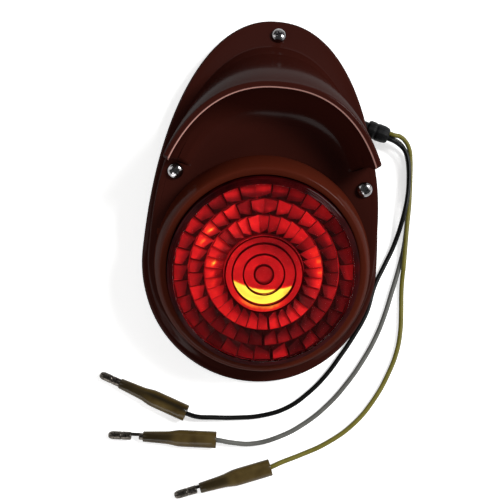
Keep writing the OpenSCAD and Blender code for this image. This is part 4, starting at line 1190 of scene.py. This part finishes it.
class TAILLIGHT_OT_terminals(Build, bpy.types.Operator):
    """Makes the bullet terminals and the sleeves on them"""
    bl_idname = "tail_light.terminals"
    bl_label = "Terminals and sleeves"

    def execute(self, context):
        for name in PLUGS:
            self.bullet(name)
            self.sleeve(name)
        return {"FINISHED"}

    def bullet(self, name):
        """Crimp, flat strap on one side and barrel with a groove."""
        matrix = plug_matrix(name) @ Matrix.Translation((crimp_start(name), 0, 0)) @ ALONG_X
        barrel = rounded([(1.55, 11.1, 0.1), (1.95, 11.5), (1.95, 15.1), (1.82, 15.45), (1.82, 15.8),
                          (1.95, 16.15), (1.95, 20.2, 0.6), (1.45, 21.5, 0.6), (0.7, BULLET_LEN, 0.3)],
                         0.2, 3)
        crimp = rounded([(1.55, 0.1), (1.6, 7.2, 0.3), (1.2, 7.6)], 0.2, 3)
        strap = [Vector((x, y, z)) for z in (7.0, 8.2, 10.6, 11.8)
                 for x, y in ((-1.1, -1.6), (1.1, -1.6), (1.1, -0.1), (-1.1, -0.1))]
        strap_faces = loop_faces(4, 4, close_rows=False) + [(3, 2, 1, 0), (12, 13, 14, 15)]
        bullet = solid("terminal_" + name, [
            turned([(0, 11.1)] + barrel + [(0, BULLET_LEN)], 48), turned([(0, 0.0)] + crimp + [(0, 7.6)], 32),
            (strap, strap_faces)], matrix, 35)
        finish_piece(bullet, grained("tarnished_tin_plate"), "bullet_" + name)

    def sleeve(self, name):
        """Sleeve that is wide and flat at the lead, narrows over the crimp and is open at both ends."""
        def ring(x, wide, tall):
            return [Vector((x, wide * math.cos(a), tall * math.sin(a))) for a in full_turn(40)]

        def hole(half, least):
            return min(max(least, min(half, 3.1) - SLEEVE_WALL), half - 0.3)

        outside, inside = [], []
        for x in SLEEVE_STATIONS:
            edge = 0.15 if x in (0.0, SLEEVE_LEN) else 0.0
            waist = mix(SLEEVE_WAIST, SLEEVE_FRONT_R, clamp01((x - 24) / 10))
            wide = mix(SLEEVE_HALF_W, waist, smoothstep(16.5, 24.0, x))
            tall = SLEEVE_BACK_R - (SLEEVE_BACK_R - SLEEVE_FRONT_R) / SLEEVE_LEN * x - 0.02
            outside.append(ring(x, wide - edge, min(tall, wide) - edge))
            least = (2.06, 2.0) if x > 12 else (1.8, 1.7)
            inside.append(ring(x, hole(wide, least[0]) + edge, hole(tall, least[1]) + edge))
        points, faces = swept(outside + inside[::-1])
        sleeve = solid("sleeve_cover_" + name, [(points, faces)], plug_matrix(name), 45)
        shown = sleeve.data.attributes.new("inside", "FLOAT", "POINT")
        side, darkness = SHOWN_LEADS[name]
        for i, p in enumerate(points):
            lead = darkness * math.exp(-((p.y - side) / 1.5) ** 2)
            crimp = 0.75 * math.exp(-(p.y / 2.2) ** 4)
            shown.data[i].value = mix(lead, crimp, smoothstep(18.0, 23.0, p.x))
        pvc = made("olive_soft_pvc", sleeve_pvc)
        finish_piece(sleeve, pvc, "sleeve_" + name, name + "_sleeve")


class TAILLIGHT_OT_spring(Build, bpy.types.Operator):
    """Winds the spring that pushes the contacts against the bulb"""
    bl_idname = "tail_light.spring"
    bl_label = "Contact spring"

    def execute(self, context):
        steps, sides = 28 * SPRING_TURNS, 10
        rows = []
        for i in range(steps + 1):
            a = 2 * math.pi * SPRING_TURNS * i / steps
            # The first and last half turns lie flat, as on a closed end
            share = clamp01((i / steps - 0.125) / 0.75)
            z = mix(SPRING_FRONT + SPRING_WIRE_R, SPRING_BACK - SPRING_WIRE_R, share)
            rows.append([polar(SPRING_R + SPRING_WIRE_R * math.cos(s), a, z + SPRING_WIRE_R * math.sin(s))
                         for s in full_turn(sides)])
        points, faces = swept(rows, close_rows=False)
        faces += [tuple(range(sides)), tuple(range(steps * sides, (steps + 1) * sides))]
        spring = solid("contact_coil_spring", [(points, faces)], BULB, 40)
        finish_piece(spring, grained("spring_steel_wire"), "contact_spring")
        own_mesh(spring)
        return {"FINISHED"}


class TAILLIGHT_OT_works(Build, bpy.types.Operator):
    """Gives the parts inside and under the shell their finishes"""
    bl_idname = "tail_light.works"
    bl_label = "Inner parts"

    def execute(self, context):
        finishes = {
            "zinc_plated_steel": ("base_plate", "weld_nuts", "base_screws", "socket_bracket", "socket_rivets",
                                  "bulb_socket", "socket_end_cap"),
            "pressed_brass": ("panel_inserts", "contact_plungers", "bulb_cap", "earth_terminal"),
            "black_epdm_moulded": ("lens_seal",),
            "white_abs_moulded": ("reflector",),
            "spring_steel_wire": ("retaining_ring", "contact_spring"),
            "brown_phenolic_board": ("contact_carrier",),
            "soft_solder": ("bulb_contacts",),
            "tungsten_and_glass_bead": ("bulb_filaments",),
        }
        materials = {node: grained(name) for name, nodes in finishes.items() for node in nodes}
        materials["bulb_glass"] = made("clear_blown_glass", blown_glass)
        for name in PLUGS:
            materials["inner_lead_" + name] = grained(name + "_wire_pvc")
        for name, material in materials.items():
            node = frame["nodes"][name]
            for obj in (node if isinstance(node, (list, tuple)) else [node]):
                for place in obj.material_slots:
                    place.material = material
        return {"FINISHED"}


OPERATORS = (
    TAILLIGHT_OT_stage, TAILLIGHT_OT_boot, TAILLIGHT_OT_terminals, TAILLIGHT_OT_leads, TAILLIGHT_OT_shell,
    TAILLIGHT_OT_bezel, TAILLIGHT_OT_gasket, TAILLIGHT_OT_lens, TAILLIGHT_OT_screws, TAILLIGHT_OT_spring,
    TAILLIGHT_OT_works,
)
SETTINGS = {
    "tail_light_shell": TailLightShell, "tail_light_lens": TailLightLens,
    "tail_light_leads": TailLightLeads, "tail_light_stage": TailLightStage,
}


class TAILLIGHT_PT_panel(bpy.types.Panel):
    """Lists the settings and the pieces of the tail light"""
    bl_idname = "TAILLIGHT_PT_panel"
    bl_label = "Tail light"
    bl_space_type = "VIEW_3D"
    bl_region_type = "UI"
    bl_category = "Tail light"

    def draw(self, context):
        layout = self.layout
        for name, group in SETTINGS.items():
            box = layout.box()
            for prop in group.__annotations__:
                box.prop(getattr(context.scene, name), prop)
        for operator in OPERATORS:
            layout.operator(operator.bl_idname)


def register():
    for group in SETTINGS.values():
        bpy.utils.register_class(group)
    for name, group in SETTINGS.items():
        setattr(bpy.types.Scene, name, PointerProperty(type=group))
    for operator in OPERATORS:
        bpy.utils.register_class(operator)
    bpy.utils.register_class(TAILLIGHT_PT_panel)


def unregister():
    bpy.utils.unregister_class(TAILLIGHT_PT_panel)
    for operator in reversed(OPERATORS):
        bpy.utils.unregister_class(operator)
    for name, group in SETTINGS.items():
        delattr(bpy.types.Scene, name)
        bpy.utils.unregister_class(group)


def main():
    register()
    for operator in OPERATORS:
        group, name = operator.bl_idname.split(".")
        getattr(getattr(bpy.ops, group), name)()


if __name__ == "__main__":
    main()
